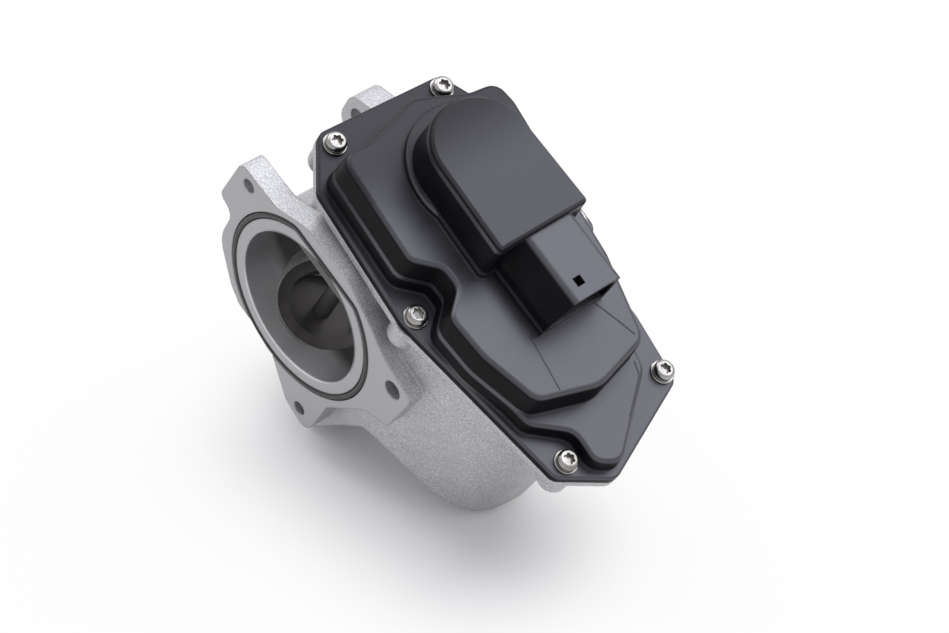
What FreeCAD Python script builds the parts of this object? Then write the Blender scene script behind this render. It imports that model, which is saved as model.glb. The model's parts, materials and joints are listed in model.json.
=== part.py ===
import math
import os

import FreeCAD
import Part

# Exhaust gas recirculation valve with a bevelled-off air duct, a push-open poppet
# and an electric gear drive under a moulded cover. All lengths are millimetres.
# The parts are drawn in the valve's own frame: origin in the middle of the outlet
# port's face, +Y along the air duct, +Z out of the cover, +X towards the motor.
# They are turned about the duct's axis at the end, to the way the valve lies.

V = FreeCAD.Vector
ORIGIN = V(0, 0, 0)
ALONG_X = V(1, 0, 0)
ALONG_Y = V(0, 1, 0)
ALONG_Z = V(0, 0, 1)

# Air duct
DUCT_BORE_R = 26.5
DUCT_FLAT_Z = 23.7
DUCT_WALL = 4.6
DUCT_LENGTH = 60.0
DUCT_CORNER_R = 3.0

# Flanges of the air duct
FLANGE_THICK = 8.0
REAR_FLANGE_THICK = 10.0
SEAL_GROOVE_R = 30.7
SEAL_GROOVE_WIDTH = 2.45
SEAL_GROOVE_FLAT_Z = 26.85
SEAL_GROOVE_DEPTH = 1.9
SEAL_CORNER_R = 4.0
SEAL_CORD_R = 1.1
TAPPED_R = 2.6
CLEAR_HOLE_R = 3.3
LARGE_TAPPED_R = 3.4
LEFT_HOLE = (-36.7, 20.1)
RIGHT_HOLE = (41.2, 16.8)
RIGHT_HOLE_DEEP = 12.0
LOWER_HOLE = (20.2, -39.7)
REAR_LEFT_HOLE = (-41.0, 16.0)
REAR_SHELF_Z = 30.2
REAR_SHELF_X = 46.0
REAR_FLOOR_Z = 33.0
REAR_FLOOR_Y = 57.0
REAR_FLOOR_X = 48.5

# Recirculated gas inlet and the poppet's chamber
STEM_X = -2.5
STEM_Y = 24.0
PORT_R = 18.0
SEAT_TOP_Z = -27.2
SEAT_DEPTH = 4.3
SEAT_OUTER_R = 16.5
SEAT_BORE_R = 12.5
CHAMBER_R = 15.5
CHAMBER_BOTTOM_Z = -43.0
CHAMBER_SHOULDER_Z = -47.2
CHAMBER_WALL = 3.2
GAS_INLET_Y = 31.0
GAS_INLET_R = 13.0
GAS_FACE_Z = -57.1
GAS_FLANGE_THICK = 7.0
GAS_FLANGE_X = 57.0
GAS_FLANGE_Y = 34.0
GAS_BOLT_SPACING = 42.0
GAS_BOLT_R = 3.3
GAS_WEB_START = 8.0
GAS_WEB_END = 16.0

# Poppet and its guide
SEAT_BEVEL_HIGH = 2.0
SEAT_BEVEL_OUT = 1.4
SEAT_BEVEL_IN = 0.6
SEAT_GAP = 0.1
DISC_BEVEL = 1.0
STEM_END = 0.8
STEM_R = 3.0
DISC_R = 13.6
DISC_THICK = 3.0
VALVE_LIFT = 7.0
BUSH_R = 5.0
GUIDE_BOSS_R = 8.0
GUIDE_LOW_Z = 19.0
GUIDE_TOP_Z = 31.0
GUIDE_NECK_R = 4.1
STEM_SEAL_HIGH = 1.4
RETAINER_R = 6.1
RETAINER_Z = 40.2
RETAINER_THICK = 1.2
ROLLER_R = 3.2
ROLLER_WIDTH = 3.4
ROLLER_PIN_R = 1.3
ROLLER_Z = 46.5
ROLLER_SIDE_GAP = 0.2
CHEEK_THICK = 1.5
CHEEK_WIDE = 5.2
CHEEK_ABOVE_PIN = 0.7
VALVE_SPRING_R = 5.2
VALVE_SPRING_WIRE_R = 0.55
VALVE_SPRING_TURNS = 3.5
VALVE_SPRING_GAP = 0.1

# Gear chamber
FLOOR_TOP_Z = 28.0
TRAY_LOW_Z = 24.0
TRAY_WALL = 2.6
PLATE_LOW_Z = 36.0
JOINT_Z = 38.8
COVER_RIM_THICK = 3.2
LOW_DECK_Z = 48.0
MAIN_DECK_Z = 58.0
COVER_WALL = 2.4
COVER_DRAFT = 1.6
DECK_EDGE_R = 1.8
LOW_DECK_EDGE_R = 1.5

# Drive
MOTOR_X = 62.5
MOTOR_Y = 33.5
OUTPUT_X = 2.0
OUTPUT_Y = 40.0
MODULE_FAST = 0.8
MODULE_SLOW = 1.0
MOTOR_PINION_TEETH = 12
LARGE_WHEEL_TEETH = 54
SMALL_PINION_TEETH = 12
SECTOR_TEETH = 58
SECTOR_TRAVEL_DEG = 62.0
BACKLASH = 0.16
FAST_GEAR_Z = 34.0
FAST_GEAR_WIDTH = 3.6
SLOW_GEAR_Z = 50.6
SLOW_GEAR_WIDTH = 3.2
POST_R = 4.0
AXLE_R = 2.0
HUB_R = 7.4
RUNNING_GAP = 0.04
FACE_GAP = 0.4
PRESSURE_ANGLE = math.radians(20)
ADDENDUM = 0.85
DEDENDUM = 1.15
FLANK_START = 0.05
FLANK_STEPS = 3
WHEEL_RIM = 3.2
WHEEL_GROOVE_DEEP = 1.0
WHEEL_HUB_R = 4.8
WHEEL_HUB_FLANGE_R = 6.4
PINION_BELOW = 1.0
PINION_ABOVE = 1.4

OUTPUT_BOSS_TOP_Z = 33.4
OUTPUT_BOSS_WALL = 3.0
AXLE_BOSS_TOP_Z = 32.0
AXLE_BOSS_WALL = 1.4
AXLE_ROOT_WALL = 1.5
AXLE_ROOT_LOW = 3.0
POST_ROOT_Z = DUCT_FLAT_Z + 1.2
AXLE_ROOT_Z = DUCT_FLAT_Z + 0.5
AXLE_END_GAP = 0.3
POST_TOP_Z = 54.4
HUB_TOP_Z = 56.4
MAGNET_HIGH = 3.0
SMALL_PINION_Z = 50.2
SECTOR_MARGIN_DEG = 7.0
SECTOR_ROOT_IN = 1.0
CAM_WIDE = 4.0
CAM_RIM = 0.8
CAM_GAP = 0.1
CAM_LEAD_DEG = 4.0
CAM_TAIL_DEG = 9.0
CAM_STEPS = 20
MAGNET_INSET = 1.2
RETURN_SPRING_OUT = 2.0
RETURN_SPRING_WIRE_R = 0.7
RETURN_SPRING_TURNS = 4.5
RETURN_SPRING_GAP = 0.2
RETURN_SPRING_TOP = 9.0

# Motor and its well
WELL_R = 21.3
WELL_WALL = 3.0
WELL_FAR_WALL = 2.1
WELL_FAR_X = MOTOR_X + WELL_R + WELL_FAR_WALL
WELL_BOTTOM_Z = -23.0
WELL_FLOOR = 3.0
WELL_EDGE_R = 3.0
WELL_DRAFT = 0.9
CAN_GAP = 1.1
MOTOR_CAN_R = WELL_R - CAN_GAP
CAN_WALL = 1.4
CAN_EDGE_R = 2.0
MAGNET_THICK = 4.8
AIR_GAP = 0.6
MAGNET_SPLIT = 8.0
MOTOR_SHAFT_R = 1.6
MOTOR_SHAFT_TOP_Z = 40.4
MOTOR_LEDGE = 1.2
PLATE_THICK = 2.0
PLATE_GAP = 0.2
BEARING_R = 3.6
BEARING_HIGH = 4.5
BEARING_PROUD = 1.0
MOTOR_SCREW_OUT = 3.1
MOTOR_SCREW_EAR_R = 3.6
MOTOR_SCREW_BEARINGS = (112.0, 226.0)
MOTOR_SCREW_SHANK_R = 1.5
MOTOR_SCREW_GAP = 0.1
MOTOR_SCREW_LENGTH = 7.0
MOTOR_SCREW_HEAD_R = 2.9
MOTOR_SCREW_HEAD_HIGH = 1.8
MOTOR_SCREW_RECESS_R = 1.2
MOTOR_SCREW_RECESS_DEEP = 1.0
SCREW_END_GAP = 0.4
ARMATURE_R = MOTOR_CAN_R - CAN_WALL - MAGNET_THICK - AIR_GAP
ARMATURE_LIFT = 4.0
ARMATURE_HIGH = 26.0
ARMATURE_SLOTS = 5
SLOT_WIDE = 2.6
SLOT_DEEP = 7.0
COMMUTATOR_R = 4.4
COMMUTATOR_HIGH = 6.0
BRUSH_LONG = 6.0
BRUSH_WIDE = 3.6
BRUSH_GAP = 0.3
BRUSH_LIFT = 0.5
TERMINAL_OUT = 13.0
TERMINAL_HALF_SPAN = 6.0
TERMINAL_WIDE = 3.2
TERMINAL_THICK = 0.8
TERMINAL_HIGH = 9.0
WAVE_SPRING_HIGH = 1.2
WAVE_SPRING_IN = 2.4
WAVE_SPRING_WIDE = 3.6
SHAFT_END_GAP = 0.7
SHAFT_POCKET_LEFT = 0.6

# Cover: sensor dome and plug socket
DOME_X = 3.0
DOME_Y = 42.0
DOME_R = 16.9
DOME_END_X = 33.3
DOME_END_HALF = DOME_R + 1.5
DOME_END_R = 1.6
DOME_FLAT = 0.3
DOME_TOP_Z = 76.0
DOME_BEVEL = 1.4
DOME_BEVEL_IN = 1.1
DOME_DRAFT = 0.9
DOME_DRAFT_IN = 1.0
PEDESTAL_X = 4.0
PEDESTAL_Y = 46.0
PEDESTAL_R = DOME_R + 6.7
PEDESTAL_Z = 60.6
PEDESTAL_EDGE_R = 0.9
PEDESTAL_INSET = 0.3
RIM_EDGE_R = 0.8
SOCKET_END_X = 57.8
SOCKET_LOW_Y = 28.0
SOCKET_HIGH_Y = 54.8
SOCKET_TOP_Z = 73.4
SOCKET_CHAMFER = 8.0
SOCKET_WALL = 2.2
SOCKET_FLOOR_Z = 60.2
SOCKET_DEPTH = 14.0
SOCKET_FLOOR_R = 1.2
SOCKET_TOP_R = 2.4
SOCKET_SHOULDER_R = 3.0
SOCKET_NOTCH_Y = 41.0
SOCKET_NOTCH_WIDE = 3.0
SOCKET_NOTCH_END = 4.0
SOCKET_NOTCH_START = 7.0
PIN_COUNT = 5
PIN_PITCH = 4.0
PIN_LENGTH = 7.0
PIN_BEND_X = 26.6
PIN_Z = 66.6
PIN_WIDE = 1.5
PIN_THICK = 0.8
PIN_SHIFT = SOCKET_CHAMFER / 6
BOARD_Z = 61.2
BOARD_THICK = 1.6
BOARD_WIDE = 24.0
BOARD_X0 = -4.0
BOARD_X1 = 29.5
BOARD_PEGS = ((0.0, 33.5), (0.0, 50.5), (20.0, 42.0))
BOARD_PEG_R = 1.6
INTO_WALL = 0.5
CUP_WALL = 1.6

# Gasket and dowels
GASKET_OUT = 0.9
GASKET_WIDE = 1.9
GASKET_DEEP = 1.3
DOWELS = ((-29.6, 42.0), (95.6, 45.6))
DOWEL_R = 1.5
DOWEL_DEEP = 2.2
DOWEL_HIGH = 2.2

# Screws
SCREW_PLACES = ((-29.0, 20.6), (-28.7, 64.9), (30.4, 6.9), (91.8, 19.0), (85.0, 66.7), (30.0, 75.0))
SCREW_R = 2.0
SCREW_HEAD_R = 3.7
SCREW_HEAD_HIGH = 2.6
SCREW_HEAD_CHAMFER = 0.7
SCREW_RECESS_R = 1.5
SCREW_RECESS_DEEP = 1.5
WASHER_R = 4.0
WASHER_THICK = 0.8
SCREW_LENGTH = 9.0
SCREW_TIP_GAP = 0.6
SLEEVE_GAP = 0.2
SLEEVE_ROOM = 4.0
SCREW_BOSS_LOW_Z = 30.6
SCREW_HOLE_R = 2.35
SLEEVE_R = 3.0
SCREW_BOSS_R = 5.2

# How far cutting tools reach past what they cut, and the least corner radius
OVER = 1.0
LEAST_CORNER_R = 0.4
SAME_LEVEL = 1e-4

# Corners are (x, y, corner radius), anticlockwise.
RIM_OUTLINE = (
    (-34.8, 18.6, 4), (-18.2, 6.0, 5), (30.0, 2.4, 10), (94.0, 12.9, 4), (104.6, 30.2, 5),
    (89.5, 69.4, 4), (66.0, 72.4, 12), (38.0, 72.4, 3), (35.6, 80.4, 4.5), (24.4, 80.4, 4.5),
    (22.0, 75.2, 3), (-13.0, 78.2, 6), (-33.2, 67.8, 4),
)
MAIN_DECK_OUTLINE = (
    (-20.2, 9.9, 5), (17.8, 7.5, 4.5), (25.2, 15.6, 4.5), (32.2, 15.6, 4.5), (39.0, 7.0, 5),
    (54.0, 8.0, 20), (73.8, 13.9, 6), (80.4, 35.5, 12), (75.3, 58.6, 6), (47.0, 66.6, 10),
    (-9.5, 73.6, 8), (-17.8, 72.6, 5), (-18.9, 62.4, 6), (-26.2, 43.0, 10), (-20.2, 23.5, 8),
)
LOW_DECK_OUTLINE = (
    (50.0, 9.5, 5), (76.6, 13.6, 5), (86.0, 25.4, 7), (96.8, 24.8, 4), (101.0, 31.5, 5),
    (80.8, 58.2, 6), (50.0, 64.0, 5),
)
FRONT_FLANGE_OUTLINE = (
    (-44.2, 2.6, 3), (-36.6, 1.2, 5), (-36.6, -14.0, 14), (-22.0, -29.6, 14), (1.0, -32.2, 8),
    (14.5, -43.6, 6), (27.4, -45.8, 4.5), (27.6, -24.0, 6), (38.2, -4.6, 5), (47.2, 0.6, 3.5),
    (48.4, 21.8, 4), (33.6, 23.8, 8), (19.5, 30.2, 12), (8.0, 34.4, 6), (-12.5, 33.6, 8),
    (-25.0, 25.9, 8), (-43.0, 25.0, 3),
)
REAR_FLANGE_OUTLINE = (
    (-47.4, 8.6, 6.4), (-36.6, 3.0, 6), (-36.6, -14.0, 14), (-22.0, -29.6, 14), (1.0, -32.2, 8),
    (14.5, -43.0, 6), (27.4, -45.0, 4.5), (27.6, -24.0, 6), (38.2, -4.6, 5), (47.2, 0.6, 3.5),
    (48.4, 21.8, 4), (29.0, 28.6, 6), (-32.0, 28.6, 6), (-47.4, 21.6, 6),
)
WELL_OUTLINE_REACH = 24.3
WELL_OUTLINE = (
    (30.0, 5.4, 5), (48.0, 5.7, 30), (84.6, 14.1, 20), (88.1, 47.0, 20), (65.0, 60.2, 20),
    (30.0, 57.0, 5),
)
GAS_WEB_OUTLINE = (
    (21.0, -57.0, 0.8), (24.0, -57.0, 1.5), (32.2, -38.8, 6), (38.6, -26.6, 6), (50.0, -22.0, 3),
    (50.0, -5.0, 2), (25.2, -5.0, 2), (25.2, -45.5, 2), (21.0, -49.5, 1),
)


def spread_corner(before, corner, after, grow):
    """Corner of the outline grown by an even margin, with its new radius."""
    ax, ay = corner[0] - before[0], corner[1] - before[1]
    bx, by = after[0] - corner[0], after[1] - corner[1]
    la, lb = math.hypot(ax, ay), math.hypot(bx, by)
    ax, ay, bx, by = ax / la, ay / la, bx / lb, by / lb
    cross = ax * by - ay * bx
    spread = grow / (1 + ax * bx + ay * by)
    x = corner[0] + (ay + by) * spread
    y = corner[1] - (ax + bx) * spread
    radius = corner[2] + grow if cross > 0 else corner[2] - grow
    return x, y, max(radius, LEAST_CORNER_R)


def grown(outline, grow):
    """The whole outline, grown outwards by a margin."""
    count = len(outline)
    return [spread_corner(outline[i - 1], outline[i], outline[(i + 1) % count], grow)
            for i in range(count)]


def rounded_wire(outline, z):
    """Closed wire of straight runs and tangent corner arcs at height z."""
    count = len(outline)
    arcs = []
    for i in range(count):
        x, y, radius = outline[i]
        before, after = outline[i - 1], outline[(i + 1) % count]
        into = V(before[0] - x, before[1] - y, 0).normalize()
        out = V(after[0] - x, after[1] - y, 0).normalize()
        half = into.getAngle(out) / 2
        reach = radius / math.tan(half)
        corner = V(x, y, z)
        middle = (into + out).normalize()
        centre = corner + middle * (radius / math.sin(half))
        arcs.append((corner + into * reach, centre - middle * radius, corner + out * reach))
    edges = []
    for i in range(count):
        start, middle, end = arcs[i]
        edges.append(Part.Arc(start, middle, end).toShape())
        edges.append(Part.LineSegment(end, arcs[(i + 1) % count][0]).toShape())
    return Part.Wire(edges)


def prism(outline, low, high, grow=0.0):
    """Straight-walled block over an outline."""
    return Part.Face(rounded_wire(grown(outline, grow), low)).extrude(V(0, 0, high - low))


def drafted(outline, low, high, grow_low, grow_high):
    """Block whose walls lean evenly from one margin to another."""
    wires = [rounded_wire(grown(outline, grow_low), low), rounded_wire(grown(outline, grow_high), high)]
    return Part.makeLoft(wires, True, True)


def level_edges(shape, z):
    """Edges that lie flat at one height."""
    return [e for e in shape.Edges if max(abs(e.BoundBox.ZMin - z), abs(e.BoundBox.ZMax - z)) < SAME_LEVEL]


def upright(shape):
    """Turn a block drawn flat, so that its +Y becomes +Z and its depth runs along the duct."""
    shape.rotate(ORIGIN, ALONG_X, 90)
    return shape


def post(x, y, low, high, radius):
    """Round post along Z."""
    return Part.makeCylinder(radius, high - low, V(x, y, low))


def tube(x, y, low, high, outer, inner):
    """Round tube along Z."""
    return post(x, y, low, high, outer).cut(post(x, y, low - OVER, high + OVER, inner))


def duct_pin(place, start, end, radius):
    """Round bar along the duct at a place (x, z)."""
    return Part.makeCylinder(radius, end - start, V(place[0], start, place[1]), ALONG_Y)


def block(x0, y0, z0, x1, y1, z1):
    """Plain block between two corners."""
    return Part.makeBox(x1 - x0, y1 - y0, z1 - z0, V(x0, y0, z0))


def dee_wire(radius, flat, corner):
    """Round outline with one flat side and two tangent corner arcs, drawn at z = 0."""
    level = flat - corner
    side = math.sqrt((radius - corner) ** 2 - level ** 2)
    touch = radius / (radius - corner)
    halfway = math.radians(45) + math.atan2(level, side) / 2
    right_low = V(side * touch, level * touch, 0)
    right_mid = V(side + corner * math.cos(halfway), level + corner * math.sin(halfway), 0)
    right_top = V(side, flat, 0)
    mirror = [V(-p.x, p.y, 0) for p in (right_low, right_mid, right_top)]
    edges = [
        Part.Arc(mirror[0], V(0, -radius, 0), right_low).toShape(),
        Part.Arc(right_low, right_mid, right_top).toShape(),
        Part.LineSegment(right_top, mirror[2]).toShape(),
        Part.Arc(mirror[2], mirror[1], mirror[0]).toShape(),
    ]
    return Part.Wire(edges)


def dee_bar(radius, flat, corner, start, end):
    """Bar of dee section along the duct."""
    face = Part.Face(dee_wire(radius, flat, corner))
    bar = upright(face.extrude(V(0, 0, end - start)))
    bar.translate(V(0, end, 0))
    return bar


def gear_outline(teeth, module, phase_deg, first=0, count=None, hub_radius=None):
    """Closed outline of involute teeth about the origin, all round or over a sector."""
    pitch_r = module * teeth / 2
    base_r = pitch_r * math.cos(PRESSURE_ANGLE)
    tip_r = pitch_r + ADDENDUM * module
    root_r = pitch_r - DEDENDUM * module
    half_tooth = math.pi / (2 * teeth) - BACKLASH / (2 * pitch_r)
    lean = math.tan(PRESSURE_ANGLE) - PRESSURE_ANGLE

    def flank(radius):
        if radius <= base_r:
            return half_tooth + lean
        angle = math.acos(base_r / radius)
        return half_tooth + lean - (math.tan(angle) - angle)

    start_r = max(root_r + FLANK_START * module, min(base_r, pitch_r))
    steps = [start_r + (tip_r - start_r) * k / FLANK_STEPS for k in range(FLANK_STEPS + 1)]
    radii = [root_r] + steps
    made = teeth if count is None else count
    points = []
    for tooth in range(first, first + made):
        middle = math.radians(phase_deg) + 2 * math.pi * tooth / teeth
        points += [(r, middle - flank(r)) for r in radii]
        points += [(r, middle + flank(r)) for r in reversed(radii)]
    if count is not None:
        points.append((hub_radius, points[-1][1]))
        points.append((hub_radius, points[0][1]))
    return [V(r * math.cos(a), r * math.sin(a), 0) for r, a in points]


def gear(teeth, module, phase_deg, low, width):
    """Whole gear about the origin."""
    points = gear_outline(teeth, module, phase_deg)
    face = Part.Face(Part.makePolygon(points + points[:1]))
    face.translate(V(0, 0, low))
    return face.extrude(V(0, 0, width))


def socket_outline():
    """Section of the plug socket in (y, z), with its sloping shoulder."""
    shoulder_y = SOCKET_LOW_Y + SOCKET_CHAMFER
    shoulder_z = SOCKET_TOP_Z - SOCKET_CHAMFER
    base = SOCKET_FLOOR_Z - SOCKET_WALL
    return ((SOCKET_LOW_Y, base, SOCKET_FLOOR_R), (SOCKET_HIGH_Y, base, SOCKET_FLOOR_R),
            (SOCKET_HIGH_Y, SOCKET_TOP_Z, SOCKET_TOP_R), (shoulder_y, SOCKET_TOP_Z, SOCKET_SHOULDER_R),
            (SOCKET_LOW_Y, shoulder_z, SOCKET_SHOULDER_R))


def dome_outline():
    """Plan of the sensor dome: round at one end, square and a little wider at the other."""
    left, round_r = DOME_X - DOME_R, DOME_R - DOME_FLAT
    return ((left, DOME_Y - DOME_R, round_r), (DOME_END_X, DOME_Y - DOME_END_HALF, DOME_END_R),
            (DOME_END_X, DOME_Y + DOME_END_HALF, DOME_END_R), (left, DOME_Y + DOME_R, round_r))


def turn_to_x(shape):
    """Turn a block drawn flat, so that its plan becomes a (y, z) section running along +X."""
    shape.rotate(ORIGIN, V(1, 1, 1), 120)
    return shape


def intermediate_axis():
    """Place of the intermediate axle, from the two centre distances."""
    fast = MODULE_FAST * (MOTOR_PINION_TEETH + LARGE_WHEEL_TEETH) / 2
    slow = MODULE_SLOW * (SMALL_PINION_TEETH + SECTOR_TEETH) / 2
    dx, dy = MOTOR_X - OUTPUT_X, MOTOR_Y - OUTPUT_Y
    span = math.hypot(dx, dy)
    along = (span ** 2 + slow ** 2 - fast ** 2) / (2 * span)
    aside = math.sqrt(slow ** 2 - along ** 2)
    ux, uy = dx / span, dy / span
    return OUTPUT_X + along * ux - aside * uy, OUTPUT_Y + along * uy + aside * ux


AXLE_X, AXLE_Y = intermediate_axis()
CAM_RADIUS = math.hypot(STEM_X - OUTPUT_X, STEM_Y - OUTPUT_Y)
STEM_BEARING = math.degrees(math.atan2(STEM_Y - OUTPUT_Y, STEM_X - OUTPUT_X))
CAM_SLOPE = math.atan(VALVE_LIFT / (CAM_RADIUS * math.radians(SECTOR_TRAVEL_DEG)))
MOTOR_SCREW_R = WELL_R + MOTOR_SCREW_OUT
MOTOR_SCREWS = [(MOTOR_X + MOTOR_SCREW_R * math.cos(math.radians(a)),
                 MOTOR_Y + MOTOR_SCREW_R * math.sin(math.radians(a))) for a in MOTOR_SCREW_BEARINGS]
ARMATURE_LOW_Z = WELL_BOTTOM_Z + WELL_FLOOR + WAVE_SPRING_HIGH + CAN_WALL + ARMATURE_LIFT


def bearing(x0, y0, x1, y1):
    """Direction from one axis to another, in degrees."""
    return math.degrees(math.atan2(y1 - y0, x1 - x0))


def fuse_all(shapes):
    """One solid from touching blocks."""
    return shapes[0].multiFuse(shapes[1:]).removeSplitter()


def drill(shape, tools):
    """The shape with every tool taken away."""
    return shape.cut(Part.makeCompound(tools))


def flange_plate(outline, start, end):
    """Duct flange between two depths along Y."""
    plate = upright(prism(outline, 0, end - start))
    plate.translate(V(0, end, 0))
    return plate


def gas_chamber(grow, top):
    """Poppet chamber that leans back to the gas inlet, solid or hollow by its margin."""
    high = Part.Wire(Part.makeCircle(CHAMBER_R + grow, V(STEM_X, STEM_Y, CHAMBER_BOTTOM_Z)))
    low = Part.Wire(Part.makeCircle(GAS_INLET_R + grow, V(STEM_X, GAS_INLET_Y, CHAMBER_SHOULDER_Z)))
    return [
        post(STEM_X, STEM_Y, CHAMBER_BOTTOM_Z, top, CHAMBER_R + grow),
        Part.makeLoft([low, high], True, True),
        post(STEM_X, GAS_INLET_Y, GAS_FACE_Z, CHAMBER_SHOULDER_Z, GAS_INLET_R + grow),
    ]


def gas_flange():
    """Plate of the recirculated gas inlet."""
    x, y = GAS_FLANGE_X / 2, GAS_FLANGE_Y / 2
    outline = ((STEM_X - x, GAS_INLET_Y - y, 7), (STEM_X + x, GAS_INLET_Y - y, 7),
               (STEM_X + x, GAS_INLET_Y + y, 7), (STEM_X - x, GAS_INLET_Y + y, 7))
    return prism(outline, GAS_FACE_Z, GAS_FACE_Z + GAS_FLANGE_THICK)


def motor_well():
    """Outside of the motor's well, drawn in a little towards its rounded bottom edge."""
    spread = WELL_R + WELL_WALL - WELL_OUTLINE_REACH
    well = drafted(WELL_OUTLINE, WELL_BOTTOM_Z, PLATE_LOW_Z, spread - WELL_DRAFT, spread)
    return well.makeFillet(WELL_EDGE_R, level_edges(well, WELL_BOTTOM_Z))


def valve_body():
    """Die-cast body: duct, flanges, gas chamber, gear tray and motor well in one casting."""
    duct = Part.makeCylinder(DUCT_BORE_R + DUCT_WALL, DUCT_LENGTH, ORIGIN, ALONG_Y)
    solids = [
        duct, flange_plate(FRONT_FLANGE_OUTLINE, 0, FLANGE_THICK),
        flange_plate(REAR_FLANGE_OUTLINE, DUCT_LENGTH - REAR_FLANGE_THICK, DUCT_LENGTH),
        prism(MAIN_DECK_OUTLINE, TRAY_LOW_Z, JOINT_Z, COVER_DRAFT),
        prism(RIM_OUTLINE, PLATE_LOW_Z, JOINT_Z), motor_well(), gas_flange(),
        flange_plate(GAS_WEB_OUTLINE, GAS_WEB_START, GAS_WEB_END),
        post(AXLE_X, AXLE_Y, TRAY_LOW_Z - AXLE_ROOT_LOW, FLOOR_TOP_Z, POST_R + AXLE_ROOT_WALL),
    ]
    solids += gas_chamber(CHAMBER_WALL, 0)
    solids += [post(x, y, SCREW_BOSS_LOW_Z, JOINT_Z, SCREW_BOSS_R) for x, y in SCREW_PLACES]
    body = fuse_all(solids)
    hollow = [
        dee_bar(DUCT_BORE_R, DUCT_FLAT_Z, DUCT_CORNER_R, -OVER, DUCT_LENGTH + OVER),
        prism(MAIN_DECK_OUTLINE, FLOOR_TOP_Z, JOINT_Z + OVER, -COVER_WALL),
        post(MOTOR_X, MOTOR_Y, WELL_BOTTOM_Z + WELL_FLOOR, JOINT_Z + OVER, WELL_R),
        post(MOTOR_X, MOTOR_Y, FLOOR_TOP_Z, JOINT_Z + OVER, WELL_R + MOTOR_LEDGE),
        post(STEM_X, STEM_Y, SEAT_TOP_Z, 0, PORT_R),
        post(STEM_X, STEM_Y, SEAT_TOP_Z - SEAT_DEPTH, SEAT_TOP_Z, SEAT_OUTER_R),
    ]
    hollow += gas_chamber(0, SEAT_TOP_Z - SEAT_DEPTH)
    body = drill(body, hollow)
    boss = post(STEM_X, STEM_Y, GUIDE_LOW_Z, FLOOR_TOP_Z, GUIDE_BOSS_R)
    output_boss = post(OUTPUT_X, OUTPUT_Y, FLOOR_TOP_Z - OVER, OUTPUT_BOSS_TOP_Z, HUB_R + OUTPUT_BOSS_WALL)
    axle_boss = post(AXLE_X, AXLE_Y, FLOOR_TOP_Z - OVER, AXLE_BOSS_TOP_Z, AXLE_R + AXLE_BOSS_WALL)
    body = fuse_all([body, boss, output_boss, axle_boss, rear_floor()])
    return drill(body, casting_holes())


def casting_holes():
    """Bores, tapped holes, seal and gasket grooves of the casting."""
    holes = [
        post(STEM_X, STEM_Y, GUIDE_LOW_Z - OVER, FLOOR_TOP_Z + OVER, BUSH_R),
        post(OUTPUT_X, OUTPUT_Y, POST_ROOT_Z, OUTPUT_BOSS_TOP_Z + OVER, POST_R),
        post(AXLE_X, AXLE_Y, AXLE_ROOT_Z, AXLE_BOSS_TOP_Z + OVER, AXLE_R),
        duct_pin(LEFT_HOLE, -OVER, FLANGE_THICK + OVER, TAPPED_R),
        duct_pin(LOWER_HOLE, -OVER, FLANGE_THICK + OVER, TAPPED_R),
        duct_pin(RIGHT_HOLE, -OVER, RIGHT_HOLE_DEEP, LARGE_TAPPED_R),
        duct_pin(RIGHT_HOLE, DUCT_LENGTH - RIGHT_HOLE_DEEP, DUCT_LENGTH + OVER, LARGE_TAPPED_R),
        seal_groove(), rear_shelf(), gasket_loop(JOINT_Z - GASKET_DEEP, JOINT_Z + OVER),
    ]
    rear = DUCT_LENGTH - REAR_FLANGE_THICK
    holes += [duct_pin(p, rear - OVER, DUCT_LENGTH + OVER, CLEAR_HOLE_R) for p in (REAR_LEFT_HOLE, LOWER_HOLE)]
    screw_low = JOINT_Z + COVER_RIM_THICK - SCREW_LENGTH - SCREW_TIP_GAP
    holes += [post(x, y, screw_low, JOINT_Z + OVER, SCREW_R) for x, y in SCREW_PLACES]
    motor_screw_low = FLOOR_TOP_Z - MOTOR_SCREW_LENGTH
    holes += [post(x, y, motor_screw_low, FLOOR_TOP_Z + OVER, MOTOR_SCREW_SHANK_R) for x, y in MOTOR_SCREWS]
    gas_low, gas_high = GAS_FACE_Z - OVER, GAS_FACE_Z + GAS_FLANGE_THICK + OVER
    gas_places = (STEM_X - GAS_BOLT_SPACING / 2, STEM_X + GAS_BOLT_SPACING / 2)
    holes += [post(x, GAS_INLET_Y, gas_low, gas_high, GAS_BOLT_R) for x in gas_places]
    holes += [post(x, y, JOINT_Z - DOWEL_DEEP, JOINT_Z + OVER, DOWEL_R) for x, y in DOWELS]
    return holes


def rear_shelf():
    """What is cut from the gear tray behind the air inlet's face."""
    left, back = min(c[0] for c in RIM_OUTLINE), max(c[1] for c in RIM_OUTLINE)
    return block(left - OVER, DUCT_LENGTH, 0, REAR_SHELF_X, back + OVER, REAR_SHELF_Z)


def rear_floor():
    """Raised floor of the gear tray, over the shelf that clears the air inlet's face."""
    tray = prism(MAIN_DECK_OUTLINE, FLOOR_TOP_Z - OVER, REAR_FLOOR_Z)
    left, back = min(c[0] for c in RIM_OUTLINE), max(c[1] for c in RIM_OUTLINE)
    return tray.common(block(left, REAR_FLOOR_Y, 0, REAR_FLOOR_X, back, REAR_FLOOR_Z))


def seal_groove():
    """Groove for the port's seal, following the dee of the bore."""
    outer_r = SEAL_GROOVE_R + SEAL_GROOVE_WIDTH
    outer_flat = SEAL_GROOVE_FLAT_Z + SEAL_GROOVE_WIDTH
    outer = dee_bar(outer_r, outer_flat, SEAL_CORNER_R + SEAL_GROOVE_WIDTH, -OVER, SEAL_GROOVE_DEPTH)
    core = dee_bar(SEAL_GROOVE_R, SEAL_GROOVE_FLAT_Z, SEAL_CORNER_R, -2 * OVER, SEAL_GROOVE_DEPTH + OVER)
    return outer.cut(core)


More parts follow.
